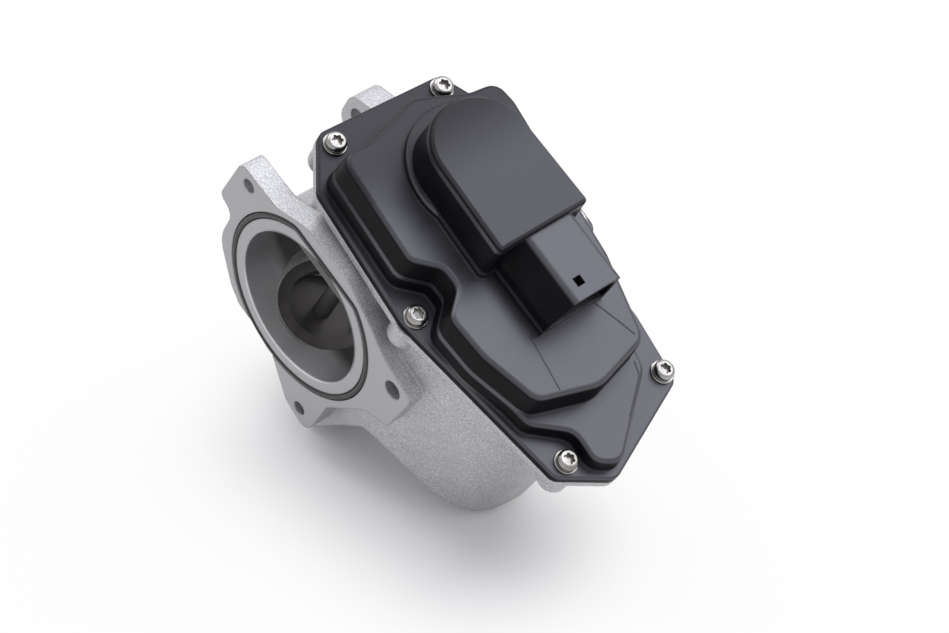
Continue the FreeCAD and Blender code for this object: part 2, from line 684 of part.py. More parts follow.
def port_seal():
    """Rubber cord seated in the groove of the outlet port."""
    middle = SEAL_GROOVE_WIDTH / 2
    path = dee_wire(SEAL_GROOVE_R + middle, SEAL_GROOVE_FLAT_Z + middle, SEAL_CORNER_R + middle)
    path.rotate(ORIGIN, ALONG_X, 90)
    path.translate(V(0, SEAL_GROOVE_DEPTH - SEAL_CORD_R, 0))
    start = V(0, SEAL_GROOVE_DEPTH - SEAL_CORD_R, -(SEAL_GROOVE_R + middle))
    ring = six_sided(SEAL_CORD_R, start, ALONG_Z, ALONG_Y)
    return path.makePipeShell([ring], True, False)


def gasket_loop(low, high):
    """Loop that follows both decks of the cover, just inside their walls."""
    decks = (MAIN_DECK_OUTLINE, LOW_DECK_OUTLINE)
    outer = [prism(deck, low, high, GASKET_OUT) for deck in decks]
    inner = [prism(deck, low - OVER, high + OVER, GASKET_OUT - GASKET_WIDE) for deck in decks]
    return outer[0].fuse(outer[1]).cut(inner[0].fuse(inner[1]))


def cover_outside():
    """Outer form of the moulded cover."""
    lean = COVER_DRAFT / (MAIN_DECK_Z - JOINT_Z)
    low_top = COVER_DRAFT - lean * (LOW_DECK_Z - JOINT_Z)
    low = drafted(LOW_DECK_OUTLINE, JOINT_Z, LOW_DECK_Z, COVER_DRAFT, low_top)
    low = low.makeFillet(LOW_DECK_EDGE_R, level_edges(low, LOW_DECK_Z))
    main = drafted(MAIN_DECK_OUTLINE, JOINT_Z, MAIN_DECK_Z, COVER_DRAFT, 0)
    main = main.makeFillet(DECK_EDGE_R, level_edges(main, MAIN_DECK_Z))
    pedestal = post(PEDESTAL_X, PEDESTAL_Y, MAIN_DECK_Z - OVER, PEDESTAL_Z, PEDESTAL_R)
    pedestal = pedestal.makeFillet(PEDESTAL_EDGE_R, level_edges(pedestal, PEDESTAL_Z))
    inside = prism(MAIN_DECK_OUTLINE, MAIN_DECK_Z - 2 * OVER, PEDESTAL_Z + OVER, -DECK_EDGE_R - PEDESTAL_INSET)
    skirt_z = DOME_TOP_Z - DOME_BEVEL
    dome = drafted(dome_outline(), MAIN_DECK_Z - OVER, skirt_z, DOME_DRAFT, 0)
    crown = drafted(dome_outline(), skirt_z, DOME_TOP_Z, 0, -DOME_BEVEL_IN)
    socket = turn_to_x(prism(socket_outline(), DOME_END_X - OVER, SOCKET_END_X))
    rim = prism(RIM_OUTLINE, JOINT_Z, JOINT_Z + COVER_RIM_THICK)
    rim = rim.makeFillet(RIM_EDGE_R, level_edges(rim, JOINT_Z + COVER_RIM_THICK))
    return fuse_all([rim, low, main, pedestal.common(inside), dome, crown, socket])


def gear_cover():
    """Moulded cover with the sensor dome and the plug socket."""
    lean = COVER_DRAFT / (MAIN_DECK_Z - JOINT_Z)
    inner_high = MAIN_DECK_Z - COVER_WALL
    low_high = LOW_DECK_Z - COVER_WALL
    start = JOINT_Z - OVER
    foot = COVER_DRAFT + lean * OVER - COVER_WALL
    low_inner = COVER_DRAFT - lean * (low_high - JOINT_Z) - COVER_WALL
    notch = block(SOCKET_END_X - SOCKET_NOTCH_START, SOCKET_NOTCH_Y - SOCKET_NOTCH_WIDE / 2,
                  SOCKET_TOP_Z - SOCKET_WALL - OVER, SOCKET_END_X - SOCKET_NOTCH_END,
                  SOCKET_NOTCH_Y + SOCKET_NOTCH_WIDE / 2, SOCKET_TOP_Z + OVER)
    crown_inner = -COVER_WALL - DOME_DRAFT_IN
    hollow = [
        drafted(MAIN_DECK_OUTLINE, start, inner_high, foot, lean * COVER_WALL - COVER_WALL),
        drafted(LOW_DECK_OUTLINE, start, low_high, foot, low_inner),
        drafted(dome_outline(), inner_high - OVER, DOME_TOP_Z - COVER_WALL, -COVER_WALL, crown_inner),
        turn_to_x(prism(socket_outline(), SOCKET_END_X - SOCKET_DEPTH, SOCKET_END_X + OVER, -SOCKET_WALL)),
        notch,
    ]
    cover = drill(cover_outside(), hollow)
    peg_top = DOME_TOP_Z - COVER_WALL + INTO_WALL
    pegs = [post(x, y, BOARD_Z + BOARD_THICK, peg_top, BOARD_PEG_R) for x, y in BOARD_PEGS]
    cup = tube(AXLE_X, AXLE_Y, SLOW_GEAR_Z + SLOW_GEAR_WIDTH + FACE_GAP, inner_high + INTO_WALL,
               AXLE_R + CUP_WALL, AXLE_R + RUNNING_GAP)
    cover = fuse_all([cover, cup] + pegs)
    rim_top = JOINT_Z + COVER_RIM_THICK
    holes = [post(x, y, JOINT_Z - OVER, rim_top + SLEEVE_ROOM, SLEEVE_R) for x, y in SCREW_PLACES]
    holes += [post(x, y, JOINT_Z - OVER, JOINT_Z + DOWEL_HIGH, DOWEL_R) for x, y in DOWELS]
    holes += [pin.copy() for pin in contact_pins()]
    return drill(cover, holes)


def contact_pins():
    """Five bent contacts from the board to the plug socket."""
    middle = (SOCKET_LOW_Y + SOCKET_HIGH_Y) / 2 + PIN_SHIFT
    first = middle - (PIN_COUNT - 1) * PIN_PITCH / 2
    pins = []
    for k in range(PIN_COUNT):
        y = first + k * PIN_PITCH
        front, back = y - PIN_WIDE / 2, y + PIN_WIDE / 2
        high = PIN_Z + PIN_THICK / 2
        blade = block(PIN_BEND_X, front, high - PIN_THICK, SOCKET_END_X - SOCKET_DEPTH + PIN_LENGTH, back, high)
        leg = block(PIN_BEND_X, front, BOARD_Z + BOARD_THICK, PIN_BEND_X + PIN_THICK, back, high)
        pins.append(blade.fuse(leg).removeSplitter())
    return pins


def sensor_board():
    """Circuit board over the magnet."""
    front, back = DOME_Y - BOARD_WIDE / 2, DOME_Y + BOARD_WIDE / 2
    return block(BOARD_X0, front, BOARD_Z, BOARD_X1, back, BOARD_Z + BOARD_THICK)


def cover_screws():
    """Pan-head screws with a six-lobe socket, each with its washer."""
    seat = JOINT_Z + COVER_RIM_THICK
    under_head = seat + WASHER_THICK
    top = under_head + SCREW_HEAD_HIGH
    screws = []
    for x, y in SCREW_PLACES:
        washer = post(x, y, seat, under_head, WASHER_R)
        head = post(x, y, under_head, top, SCREW_HEAD_R)
        head = head.makeChamfer(SCREW_HEAD_CHAMFER, level_edges(head, top))
        shank = post(x, y, seat - SCREW_LENGTH, under_head, SCREW_R)
        recess = post(x, y, top - SCREW_RECESS_DEEP, top + OVER, SCREW_RECESS_R)
        screws.append(fuse_all([washer, head, shank]).cut(recess))
    return screws


def cover_sleeves():
    """Steel sleeves that keep the screws from crushing the cover."""
    top = JOINT_Z + COVER_RIM_THICK
    return [tube(x, y, JOINT_Z, top, SLEEVE_R, SCREW_R + SLEEVE_GAP) for x, y in SCREW_PLACES]


def dowels():
    """Two dowels that place the cover on the casting."""
    return [post(x, y, JOINT_Z - DOWEL_DEEP, JOINT_Z + DOWEL_HIGH, DOWEL_R) for x, y in DOWELS]


def six_sided(radius, centre, across, up):
    """Six-sided section, drawn a little large so that its area is the round wire's."""
    reach = radius * math.sqrt(2 * math.pi / (3 * math.sqrt(3)))
    corners = [centre + across * (reach * math.cos(math.radians(60 * k)))
               + up * (reach * math.sin(math.radians(60 * k))) for k in range(7)]
    return Part.makePolygon(corners)


def coil(x, y, low, high, mean_r, wire_r, turns):
    """Open coil that stands between two heights."""
    rise = high - low - 2 * wire_r
    path = Part.makeHelix(rise / turns, rise, mean_r)
    start = six_sided(wire_r, V(mean_r, 0, 0), ALONG_X, ALONG_Z)
    spring = Part.Wire(path).makePipeShell([start], True, True)
    spring.translate(V(x, y, low + wire_r))
    return spring


def valve_spring():
    """Closing spring between the tray's floor and the retainer."""
    return coil(STEM_X, STEM_Y, FLOOR_TOP_Z + VALVE_SPRING_GAP, RETAINER_Z - VALVE_SPRING_GAP,
                VALVE_SPRING_R, VALVE_SPRING_WIRE_R, VALVE_SPRING_TURNS)


def return_spring():
    """Torsion spring round the hub of the sector gear."""
    low, high = OUTPUT_BOSS_TOP_Z + RETURN_SPRING_GAP, OUTPUT_BOSS_TOP_Z + RETURN_SPRING_TOP
    radius = HUB_R + RETURN_SPRING_OUT
    return coil(OUTPUT_X, OUTPUT_Y, low, high, radius, RETURN_SPRING_WIRE_R, RETURN_SPRING_TURNS)


def guide_bush():
    """Bronze bush that guides the valve stem."""
    low = post(STEM_X, STEM_Y, GUIDE_LOW_Z, FLOOR_TOP_Z, BUSH_R)
    neck = post(STEM_X, STEM_Y, FLOOR_TOP_Z, GUIDE_TOP_Z, GUIDE_NECK_R)
    return low.fuse(neck).removeSplitter().cut(post(STEM_X, STEM_Y, 0, MAIN_DECK_Z, STEM_R + RUNNING_GAP))


def stem_seal():
    """Lip seal on top of the guide bush."""
    return tube(STEM_X, STEM_Y, GUIDE_TOP_Z, GUIDE_TOP_Z + STEM_SEAL_HIGH, GUIDE_NECK_R, STEM_R + RUNNING_GAP)


def valve_seat():
    """Hardened seat ring, bevelled for the disc."""
    bottom = SEAT_TOP_Z - SEAT_DEPTH
    wide, narrow = SEAT_BORE_R + SEAT_BEVEL_OUT, SEAT_BORE_R - SEAT_BEVEL_IN
    bevel = Part.makeCone(wide, narrow, SEAT_BEVEL_HIGH, V(STEM_X, STEM_Y, bottom))
    ring = tube(STEM_X, STEM_Y, bottom, SEAT_TOP_Z, SEAT_OUTER_R, SEAT_BORE_R)
    return ring.cut(bevel)


def valve_disc():
    """Poppet's disc, bevelled to the seat and hung just below it."""
    top = SEAT_TOP_Z - SEAT_DEPTH - SEAT_GAP
    rim = post(STEM_X, STEM_Y, top - DISC_THICK, top - DISC_BEVEL, DISC_R)
    bevel = Part.makeCone(DISC_R, DISC_R - DISC_BEVEL, DISC_BEVEL, V(STEM_X, STEM_Y, top - DISC_BEVEL))
    return fuse_all([rim, bevel]).cut(post(STEM_X, STEM_Y, top - DISC_THICK - OVER, top + OVER, STEM_R))


def valve_stem():
    """Stem with the fork that carries the roller."""
    disc_low = SEAT_TOP_Z - SEAT_DEPTH - SEAT_GAP - DISC_THICK
    base = RETAINER_Z + RETAINER_THICK
    half = ROLLER_WIDTH / 2 + ROLLER_SIDE_GAP
    wide = half + CHEEK_THICK
    deep = CHEEK_WIDE / 2
    top = ROLLER_Z + ROLLER_PIN_R + CHEEK_ABOVE_PIN
    fork = block(-wide, -deep, base, wide, deep, top)
    fork = fork.cut(block(-half, -deep - OVER, base + CHEEK_THICK, half, deep + OVER, top + OVER))
    fork.rotate(ORIGIN, ALONG_Z, STEM_BEARING)
    fork.translate(V(STEM_X, STEM_Y, 0))
    stem = fuse_all([post(STEM_X, STEM_Y, disc_low - STEM_END, base, STEM_R), fork])
    return stem.cut(roller_bar(-wide - OVER, wide + OVER, ROLLER_PIN_R))


def roller_bar(start, end, radius):
    """Bar along the roller's axis, which points from the sector's axis to the stem."""
    bar = Part.makeCylinder(radius, end - start, V(start, 0, ROLLER_Z), ALONG_X)
    bar.rotate(ORIGIN, ALONG_Z, STEM_BEARING)
    bar.translate(V(STEM_X, STEM_Y, 0))
    return bar


def spring_retainer():
    """Washer on the stem that the closing spring pushes."""
    return tube(STEM_X, STEM_Y, RETAINER_Z, RETAINER_Z + RETAINER_THICK, RETAINER_R, STEM_R)


def cam_roller():
    """Roller that the face cam pushes down."""
    half = ROLLER_WIDTH / 2
    bore = roller_bar(-half - OVER, half + OVER, ROLLER_PIN_R + RUNNING_GAP)
    return roller_bar(-half, half, ROLLER_R).cut(bore)


def roller_pin():
    """Pin through the fork and the roller."""
    half = ROLLER_WIDTH / 2 + ROLLER_SIDE_GAP + CHEEK_THICK
    return roller_bar(-half, half, ROLLER_PIN_R)


def output_post():
    """Fixed post that the sector gear turns on."""
    return post(OUTPUT_X, OUTPUT_Y, POST_ROOT_Z, POST_TOP_Z, POST_R)


def intermediate_axle():
    """Fixed axle of the intermediate gear."""
    return post(AXLE_X, AXLE_Y, AXLE_ROOT_Z, MAIN_DECK_Z - COVER_WALL - AXLE_END_GAP, AXLE_R)


def sector_gear():
    """Output gear: toothed sector, web and long hub."""
    toward = bearing(OUTPUT_X, OUTPUT_Y, AXLE_X, AXLE_Y)
    below = math.ceil((SECTOR_TRAVEL_DEG + SECTOR_MARGIN_DEG) * SECTOR_TEETH / 360)
    above = math.floor(SECTOR_MARGIN_DEG * SECTOR_TEETH / 360)
    points = gear_outline(SECTOR_TEETH, MODULE_SLOW, toward, -below, below + above + 1, HUB_R - SECTOR_ROOT_IN)
    face = Part.Face(Part.makePolygon(points + points[:1]))
    face.translate(V(0, 0, SLOW_GEAR_Z))
    teeth = face.extrude(V(0, 0, SLOW_GEAR_WIDTH))
    web = post(0, 0, SLOW_GEAR_Z, SLOW_GEAR_Z + SLOW_GEAR_WIDTH, CAM_RADIUS + CAM_WIDE / 2 + CAM_RIM)
    hub = post(0, 0, OUTPUT_BOSS_TOP_Z + FACE_GAP, HUB_TOP_Z, HUB_R)
    gear_body = fuse_all([teeth, web, hub]).cut(post(0, 0, 0, POST_TOP_Z + FACE_GAP, POST_R + RUNNING_GAP))
    gear_body.translate(V(OUTPUT_X, OUTPUT_Y, 0))
    return gear_body


def face_cam():
    """Helical ramp under the sector gear that pushes the roller."""
    inner, outer = CAM_RADIUS - CAM_WIDE / 2, CAM_RADIUS + CAM_WIDE / 2
    rest_z = ROLLER_Z + (ROLLER_R + CAM_GAP) / math.cos(CAM_SLOPE)
    per_degree = VALVE_LIFT / SECTOR_TRAVEL_DEG
    whole = CAM_LEAD_DEG + SECTOR_TRAVEL_DEG + CAM_TAIL_DEG
    sections = []
    for k in range(CAM_STEPS + 1):
        turned = whole * k / CAM_STEPS - CAM_LEAD_DEG
        low = rest_z - per_degree * turned
        angle = math.radians(STEM_BEARING - turned)
        ux, uy = math.cos(angle), math.sin(angle)
        corners = [V(r * ux, r * uy, z) for r, z in
                   ((inner, low), (outer, low), (outer, SLOW_GEAR_Z), (inner, SLOW_GEAR_Z))]
        sections.append(Part.makePolygon(corners + corners[:1]))
    cam = Part.makeLoft(sections, True, True)
    cam.translate(V(OUTPUT_X, OUTPUT_Y, 0))
    return cam


def sensor_magnet():
    """Magnet on the hub, read by the sensor in the dome."""
    return post(OUTPUT_X, OUTPUT_Y, HUB_TOP_Z, HUB_TOP_Z + MAGNET_HIGH, HUB_R - MAGNET_INSET)


def intermediate_wheel():
    """Large wheel of the double gear, with its hub."""
    phase = bearing(AXLE_X, AXLE_Y, MOTOR_X, MOTOR_Y)
    wheel = gear(LARGE_WHEEL_TEETH, MODULE_FAST, phase, FAST_GEAR_Z, FAST_GEAR_WIDTH)
    rim_r = MODULE_FAST * LARGE_WHEEL_TEETH / 2 - WHEEL_RIM
    top = FAST_GEAR_Z + FAST_GEAR_WIDTH
    groove = tube(0, 0, top - WHEEL_GROOVE_DEEP, top + OVER, rim_r, WHEEL_HUB_FLANGE_R)
    hub = post(0, 0, AXLE_BOSS_TOP_Z + FACE_GAP, SMALL_PINION_Z, WHEEL_HUB_R)
    wheel = fuse_all([wheel.cut(groove), hub]).cut(post(0, 0, 0, SMALL_PINION_Z + OVER, AXLE_R + RUNNING_GAP))
    wheel.translate(V(AXLE_X, AXLE_Y, 0))
    return wheel


def intermediate_pinion():
    """Small pinion of the double gear."""
    phase = bearing(AXLE_X, AXLE_Y, OUTPUT_X, OUTPUT_Y) + 180 / SMALL_PINION_TEETH
    top = SLOW_GEAR_Z + SLOW_GEAR_WIDTH
    pinion = gear(SMALL_PINION_TEETH, MODULE_SLOW, phase, SMALL_PINION_Z, top - SMALL_PINION_Z)
    pinion = pinion.cut(post(0, 0, 0, top + OVER, AXLE_R + RUNNING_GAP))
    pinion.translate(V(AXLE_X, AXLE_Y, 0))
    return pinion


def motor_pinion():
    """Pinion on the motor's shaft."""
    phase = bearing(MOTOR_X, MOTOR_Y, AXLE_X, AXLE_Y) + 180 / MOTOR_PINION_TEETH
    low, high = FAST_GEAR_Z - PINION_BELOW, FAST_GEAR_Z + FAST_GEAR_WIDTH + PINION_ABOVE
    pinion = gear(MOTOR_PINION_TEETH, MODULE_FAST, phase, low, high - low)
    pinion = pinion.cut(post(0, 0, 0, high + OVER, MOTOR_SHAFT_R))
    pinion.translate(V(MOTOR_X, MOTOR_Y, 0))
    return pinion


def motor_can():
    """Drawn steel can of the motor."""
    low = WELL_BOTTOM_Z + WELL_FLOOR + WAVE_SPRING_HIGH
    can = post(MOTOR_X, MOTOR_Y, low, FLOOR_TOP_Z, MOTOR_CAN_R)
    can = can.makeFillet(CAN_EDGE_R, level_edges(can, low))
    inner = post(MOTOR_X, MOTOR_Y, low + CAN_WALL, FLOOR_TOP_Z + OVER, MOTOR_CAN_R - CAN_WALL)
    pocket = post(MOTOR_X, MOTOR_Y, low + SHAFT_POCKET_LEFT, low + CAN_WALL + OVER, MOTOR_SHAFT_R + RUNNING_GAP)
    return drill(can, [inner, pocket])


def motor_plate():
    """Plate that closes the can and screws to the tray's floor."""
    low, high = FLOOR_TOP_Z, FLOOR_TOP_Z + PLATE_THICK
    disc = post(MOTOR_X, MOTOR_Y, low, high, WELL_R + MOTOR_LEDGE - PLATE_GAP)
    ears = [post(x, y, low, high, MOTOR_SCREW_EAR_R) for x, y in MOTOR_SCREWS]
    clear_r = MOTOR_SCREW_SHANK_R + MOTOR_SCREW_GAP
    holes = [post(x, y, low - OVER, high + OVER, clear_r) for x, y in MOTOR_SCREWS]
    holes.append(post(MOTOR_X, MOTOR_Y, low - OVER, high + OVER, BEARING_R))
    holes.append(post(AXLE_X, AXLE_Y, low - OVER, high + OVER, AXLE_R + AXLE_BOSS_WALL + FACE_GAP))
    return drill(fuse_all([disc] + ears), holes)


def motor_bearing():
    """Bearing of the motor's shaft in the plate."""
    high = FLOOR_TOP_Z + PLATE_THICK + BEARING_PROUD
    return tube(MOTOR_X, MOTOR_Y, high - BEARING_HIGH, high, BEARING_R, MOTOR_SHAFT_R + RUNNING_GAP)


def motor_magnets():
    """Two magnet shells inside the can."""
    low, high = ARMATURE_LOW_Z, ARMATURE_LOW_Z + ARMATURE_HIGH
    ring = tube(MOTOR_X, MOTOR_Y, low, high, MOTOR_CAN_R - CAN_WALL, ARMATURE_R + AIR_GAP)
    half, far = MAGNET_SPLIT / 2, MOTOR_CAN_R
    gap = block(MOTOR_X - half, MOTOR_Y - far, low - OVER, MOTOR_X + half, MOTOR_Y + far, high + OVER)
    return list(ring.cut(gap).Solids)


def motor_armature():
    """Slotted armature."""
    low, high = ARMATURE_LOW_Z, ARMATURE_LOW_Z + ARMATURE_HIGH
    core = tube(MOTOR_X, MOTOR_Y, low, high, ARMATURE_R, MOTOR_SHAFT_R)
    half = SLOT_WIDE / 2
    slots = []
    for k in range(ARMATURE_SLOTS):
        slot = block(ARMATURE_R - SLOT_DEEP, -half, low - OVER, ARMATURE_R + OVER, half, high + OVER)
        slot.rotate(ORIGIN, ALONG_Z, 360 * k / ARMATURE_SLOTS)
        slot.translate(V(MOTOR_X, MOTOR_Y, 0))
        slots.append(slot)
    return drill(core, slots)


def commutator():
    """Commutator above the armature."""
    low = ARMATURE_LOW_Z + ARMATURE_HIGH
    return tube(MOTOR_X, MOTOR_Y, low, low + COMMUTATOR_HIGH, COMMUTATOR_R, MOTOR_SHAFT_R)


def motor_shaft():
    """Steel shaft of the motor."""
    low = WELL_BOTTOM_Z + WELL_FLOOR + WAVE_SPRING_HIGH + SHAFT_END_GAP
    return post(MOTOR_X, MOTOR_Y, low, MOTOR_SHAFT_TOP_Z, MOTOR_SHAFT_R)


def motor_brushes():
    """Carbon brushes either side of the commutator, held under the plate."""
    low = ARMATURE_LOW_Z + ARMATURE_HIGH + BRUSH_LIFT
    near = COMMUTATOR_R + BRUSH_GAP
    half = BRUSH_WIDE / 2
    starts = (MOTOR_X - near - BRUSH_LONG, MOTOR_X + near)
    return [block(x, MOTOR_Y - half, low, x + BRUSH_LONG, MOTOR_Y + half, FLOOR_TOP_Z) for x in starts]


def motor_screws():
    """Two screws that hold the motor's plate."""
    screws = []
    top = FLOOR_TOP_Z + PLATE_THICK
    for x, y in MOTOR_SCREWS:
        head_top = top + MOTOR_SCREW_HEAD_HIGH
        head = post(x, y, top, head_top, MOTOR_SCREW_HEAD_R)
        shank = post(x, y, FLOOR_TOP_Z - MOTOR_SCREW_LENGTH + SCREW_END_GAP, top, MOTOR_SCREW_SHANK_R)
        recess = post(x, y, head_top - MOTOR_SCREW_RECESS_DEEP, head_top + OVER, MOTOR_SCREW_RECESS_R)
        screws.append(head.fuse(shank).cut(recess))
    return screws


def motor_terminals():
    """Two blades that join the motor to the cover's conductors."""
    low, high = FLOOR_TOP_Z + PLATE_THICK, FLOOR_TOP_Z + PLATE_THICK + TERMINAL_HIGH
    near, far = MOTOR_X + TERMINAL_OUT, MOTOR_X + TERMINAL_OUT + TERMINAL_THICK
    half = TERMINAL_WIDE / 2
    middles = (MOTOR_Y - TERMINAL_HALF_SPAN, MOTOR_Y + TERMINAL_HALF_SPAN)
    return [block(near, y - half, low, far, y + half, high) for y in middles]


def wave_spring():
    """Spring washer under the motor."""
    low = WELL_BOTTOM_Z + WELL_FLOOR
    outer = MOTOR_CAN_R - WAVE_SPRING_IN
    return tube(MOTOR_X, MOTOR_Y, low, low + WAVE_SPRING_HIGH, outer, outer - WAVE_SPRING_WIDE)


def rest_tilt():
    """Angle at which the gas flange's edge and the well's bottom edge touch one level."""
    flange_edge = STEM_X + GAS_FLANGE_X / 2
    reach = WELL_FAR_X - WELL_EDGE_R - flange_edge
    drop = WELL_BOTTOM_Z + WELL_EDGE_R - GAS_FACE_Z
    span = math.hypot(reach, drop)
    return math.degrees(math.atan2(drop, reach) - math.asin(WELL_EDGE_R / span))


def cover_gasket():
    """Rubber loop that fills the casting's groove."""
    return gasket_loop(JOINT_Z - GASKET_DEEP, JOINT_Z)


NODES = {
    "valve_body": valve_body, "gear_cover": gear_cover, "cover_gasket": cover_gasket,
    "cover_screws": cover_screws, "cover_sleeves": cover_sleeves, "cover_dowels": dowels,
    "port_seal": port_seal, "contact_pins": contact_pins, "sensor_board": sensor_board,
    "output_post": output_post, "intermediate_axle": intermediate_axle, "sector_gear": sector_gear,
    "face_cam": face_cam, "sensor_magnet": sensor_magnet, "return_spring": return_spring,
    "intermediate_wheel": intermediate_wheel, "intermediate_pinion": intermediate_pinion,
    "motor_can": motor_can, "motor_plate": motor_plate, "motor_bearing": motor_bearing,
    "motor_magnets": motor_magnets, "motor_armature": motor_armature, "motor_commutator": commutator,
    "motor_brushes": motor_brushes, "motor_shaft": motor_shaft, "motor_pinion": motor_pinion,
    "motor_screws": motor_screws, "motor_terminals": motor_terminals, "motor_wave_spring": wave_spring,
    "guide_bush": guide_bush, "stem_seal": stem_seal, "valve_seat": valve_seat, "valve_disc": valve_disc,
    "valve_stem": valve_stem, "spring_retainer": spring_retainer, "valve_spring": valve_spring,
    "cam_roller": cam_roller, "roller_pin": roller_pin,
}


def main():
    """Build every sub-part, turn it to the resting attitude and write its file."""
    os.makedirs("parts", exist_ok=True)
    tilt = rest_tilt()
    for name, make in NODES.items():
        made = make()
        shape = Part.makeCompound(made) if isinstance(made, list) else made
        shape.rotate(ORIGIN, ALONG_Y, tilt)
        shape.exportStep(f"parts/{name}.step")
        print(f"{name}: {len(shape.Solids)} solids, {shape.Volume / 1000:.2f} cm3, valid {shape.isValid()}")
    print(f"rest tilt {tilt:.3f}, axle at ({AXLE_X:.3f}, {AXLE_Y:.3f}), cam radius {CAM_RADIUS:.3f}")


main()
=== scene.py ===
"""Looks of an exhaust gas recirculation valve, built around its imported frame.

The valve is a die-cast air duct with bolted flanges, a gear tray closed by a
moulded cover, and a poppet that a small motor opens. Places and sizes are
millimetres in the valve's own frame: origin in the middle of the outlet port,
+Y along the duct, +Z out of the cover. ValveFrame turns them into the frame's
metres, at the angle at which the valve lies.
"""

from __future__ import annotations

import enum
import json
import logging
import math
from collections.abc import Callable, Mapping, Sequence
from dataclasses import dataclass
from typing import Any

import bmesh
import bpy
from mathutils import Matrix, Vector

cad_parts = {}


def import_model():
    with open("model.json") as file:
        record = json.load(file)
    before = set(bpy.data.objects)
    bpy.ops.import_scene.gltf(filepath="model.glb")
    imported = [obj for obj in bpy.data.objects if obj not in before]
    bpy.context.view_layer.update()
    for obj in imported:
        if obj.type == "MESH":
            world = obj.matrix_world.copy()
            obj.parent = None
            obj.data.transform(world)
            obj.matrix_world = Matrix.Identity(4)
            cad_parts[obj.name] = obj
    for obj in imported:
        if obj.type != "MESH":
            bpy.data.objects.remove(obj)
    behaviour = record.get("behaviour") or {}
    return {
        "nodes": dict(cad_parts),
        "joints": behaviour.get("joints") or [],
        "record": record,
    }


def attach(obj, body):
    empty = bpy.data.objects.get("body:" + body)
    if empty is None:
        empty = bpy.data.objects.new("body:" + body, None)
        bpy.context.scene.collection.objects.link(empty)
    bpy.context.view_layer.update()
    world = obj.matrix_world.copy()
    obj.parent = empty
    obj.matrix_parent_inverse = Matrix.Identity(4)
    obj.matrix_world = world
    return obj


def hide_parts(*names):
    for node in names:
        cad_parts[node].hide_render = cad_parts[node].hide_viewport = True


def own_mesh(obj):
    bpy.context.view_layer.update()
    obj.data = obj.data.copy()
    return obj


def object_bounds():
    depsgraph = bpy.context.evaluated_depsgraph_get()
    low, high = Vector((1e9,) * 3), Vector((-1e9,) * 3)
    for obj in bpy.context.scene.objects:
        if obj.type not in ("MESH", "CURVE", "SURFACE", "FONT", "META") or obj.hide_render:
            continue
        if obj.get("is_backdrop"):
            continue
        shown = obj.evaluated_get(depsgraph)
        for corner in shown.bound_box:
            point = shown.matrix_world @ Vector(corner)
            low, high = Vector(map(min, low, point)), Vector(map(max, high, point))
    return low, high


LOG = logging.getLogger("egr_valve")
MM = 0.001
Point = tuple[float, float, float]
Colour = tuple[float, float, float]


class Body(enum.Enum):
    """Bodies of the frame that pieces ride on."""

    CASTING = "valve_body"


class Slot(enum.Enum):
    """Material slots that new pieces take their finish from."""

    CASTING = "cast_aluminium"
    COVER = "cover_plastic"
    SCREWS = "plated_screws"
    SEAL = "seal_rubber"
    SPRING = "spring_steel"


class ValveFrame:
    """Turns places in the valve's own frame into the row's frame."""

    def __init__(self, joints: Sequence[Mapping[str, Any]]) -> None:
        """Read the resting angle from the way the poppet slides.

        Args:
            joints: The frame's joints.
        """
        slide = next(joint for joint in joints if joint["name"] == "poppet_lift")
        down = Vector(slide["axis"]).normalized()
        self.up: Vector = -down
        self.tilt: float = math.atan2(self.up.x, self.up.z)

    def turn(self) -> Matrix:
        """Rotation from the valve's own frame to the row's frame."""
        return Matrix.Rotation(self.tilt, 4, "Y")

    def place(self, x: float, y: float, z: float) -> Vector:
        """A point in millimetres, as a place in the row's frame in metres."""
        return self.turn() @ (Vector((x, y, z)) * MM)


class Value:
    """A number in a shader, to be used in Python expressions."""

    def __init__(self, graph: Graph, socket: bpy.types.NodeSocket) -> None:
        """Wrap a socket.

        Args:
            graph: The material that the socket belongs to.
            socket: The output that carries the number.
        """
        self.graph = graph
        self.socket = socket

    def _math(self, operation: str, first: Any, second: Any) -> Value:
        """Add one Math node and return its result."""
        node = self.graph.add("ShaderNodeMath", {"operation": operation}, {0: first, 1: second})
        return Value(self.graph, node.outputs[0])

    def __add__(self, other: Any) -> Value:
        """Sum."""
        return self._math("ADD", self, other)

    __radd__ = __add__

    def __mul__(self, other: Any) -> Value:
        """Product."""
        return self._math("MULTIPLY", self, other)

    __rmul__ = __mul__

    def __sub__(self, other: Any) -> Value:
        """Difference."""
        return self._math("SUBTRACT", self, other)

    def __rsub__(self, other: Any) -> Value:
        """Difference with this value taken away."""
        return self._math("SUBTRACT", other, self)

    def larger(self, other: Any) -> Value:
        """The larger of two values."""
        return self._math("MAXIMUM", self, other)

    def size(self) -> Value:
        """The value without its sign."""
        return self._math("ABSOLUTE", self, 0.0)

    def ramp(self, low: float, high: float) -> Value:
        """Smooth step from 0 at low to 1 at high, or the other way round.

        Args:
            low: Value at which the step starts.
            high: Value at which the step ends, which may be below low.

        Returns:
            A mask between 0 and 1.
        """
        rising = low < high
        settings = {"interpolation_type": "SMOOTHSTEP", "clamp": True}
        ends = {"From Min": min(low, high), "From Max": max(low, high)}
        steps = {"To Min": 0.0 if rising else 1.0, "To Max": 1.0 if rising else 0.0}
        node = self.graph.add("ShaderNodeMapRange", settings, {"Value": self, **ends, **steps})
        return Value(self.graph, node.outputs["Result"])


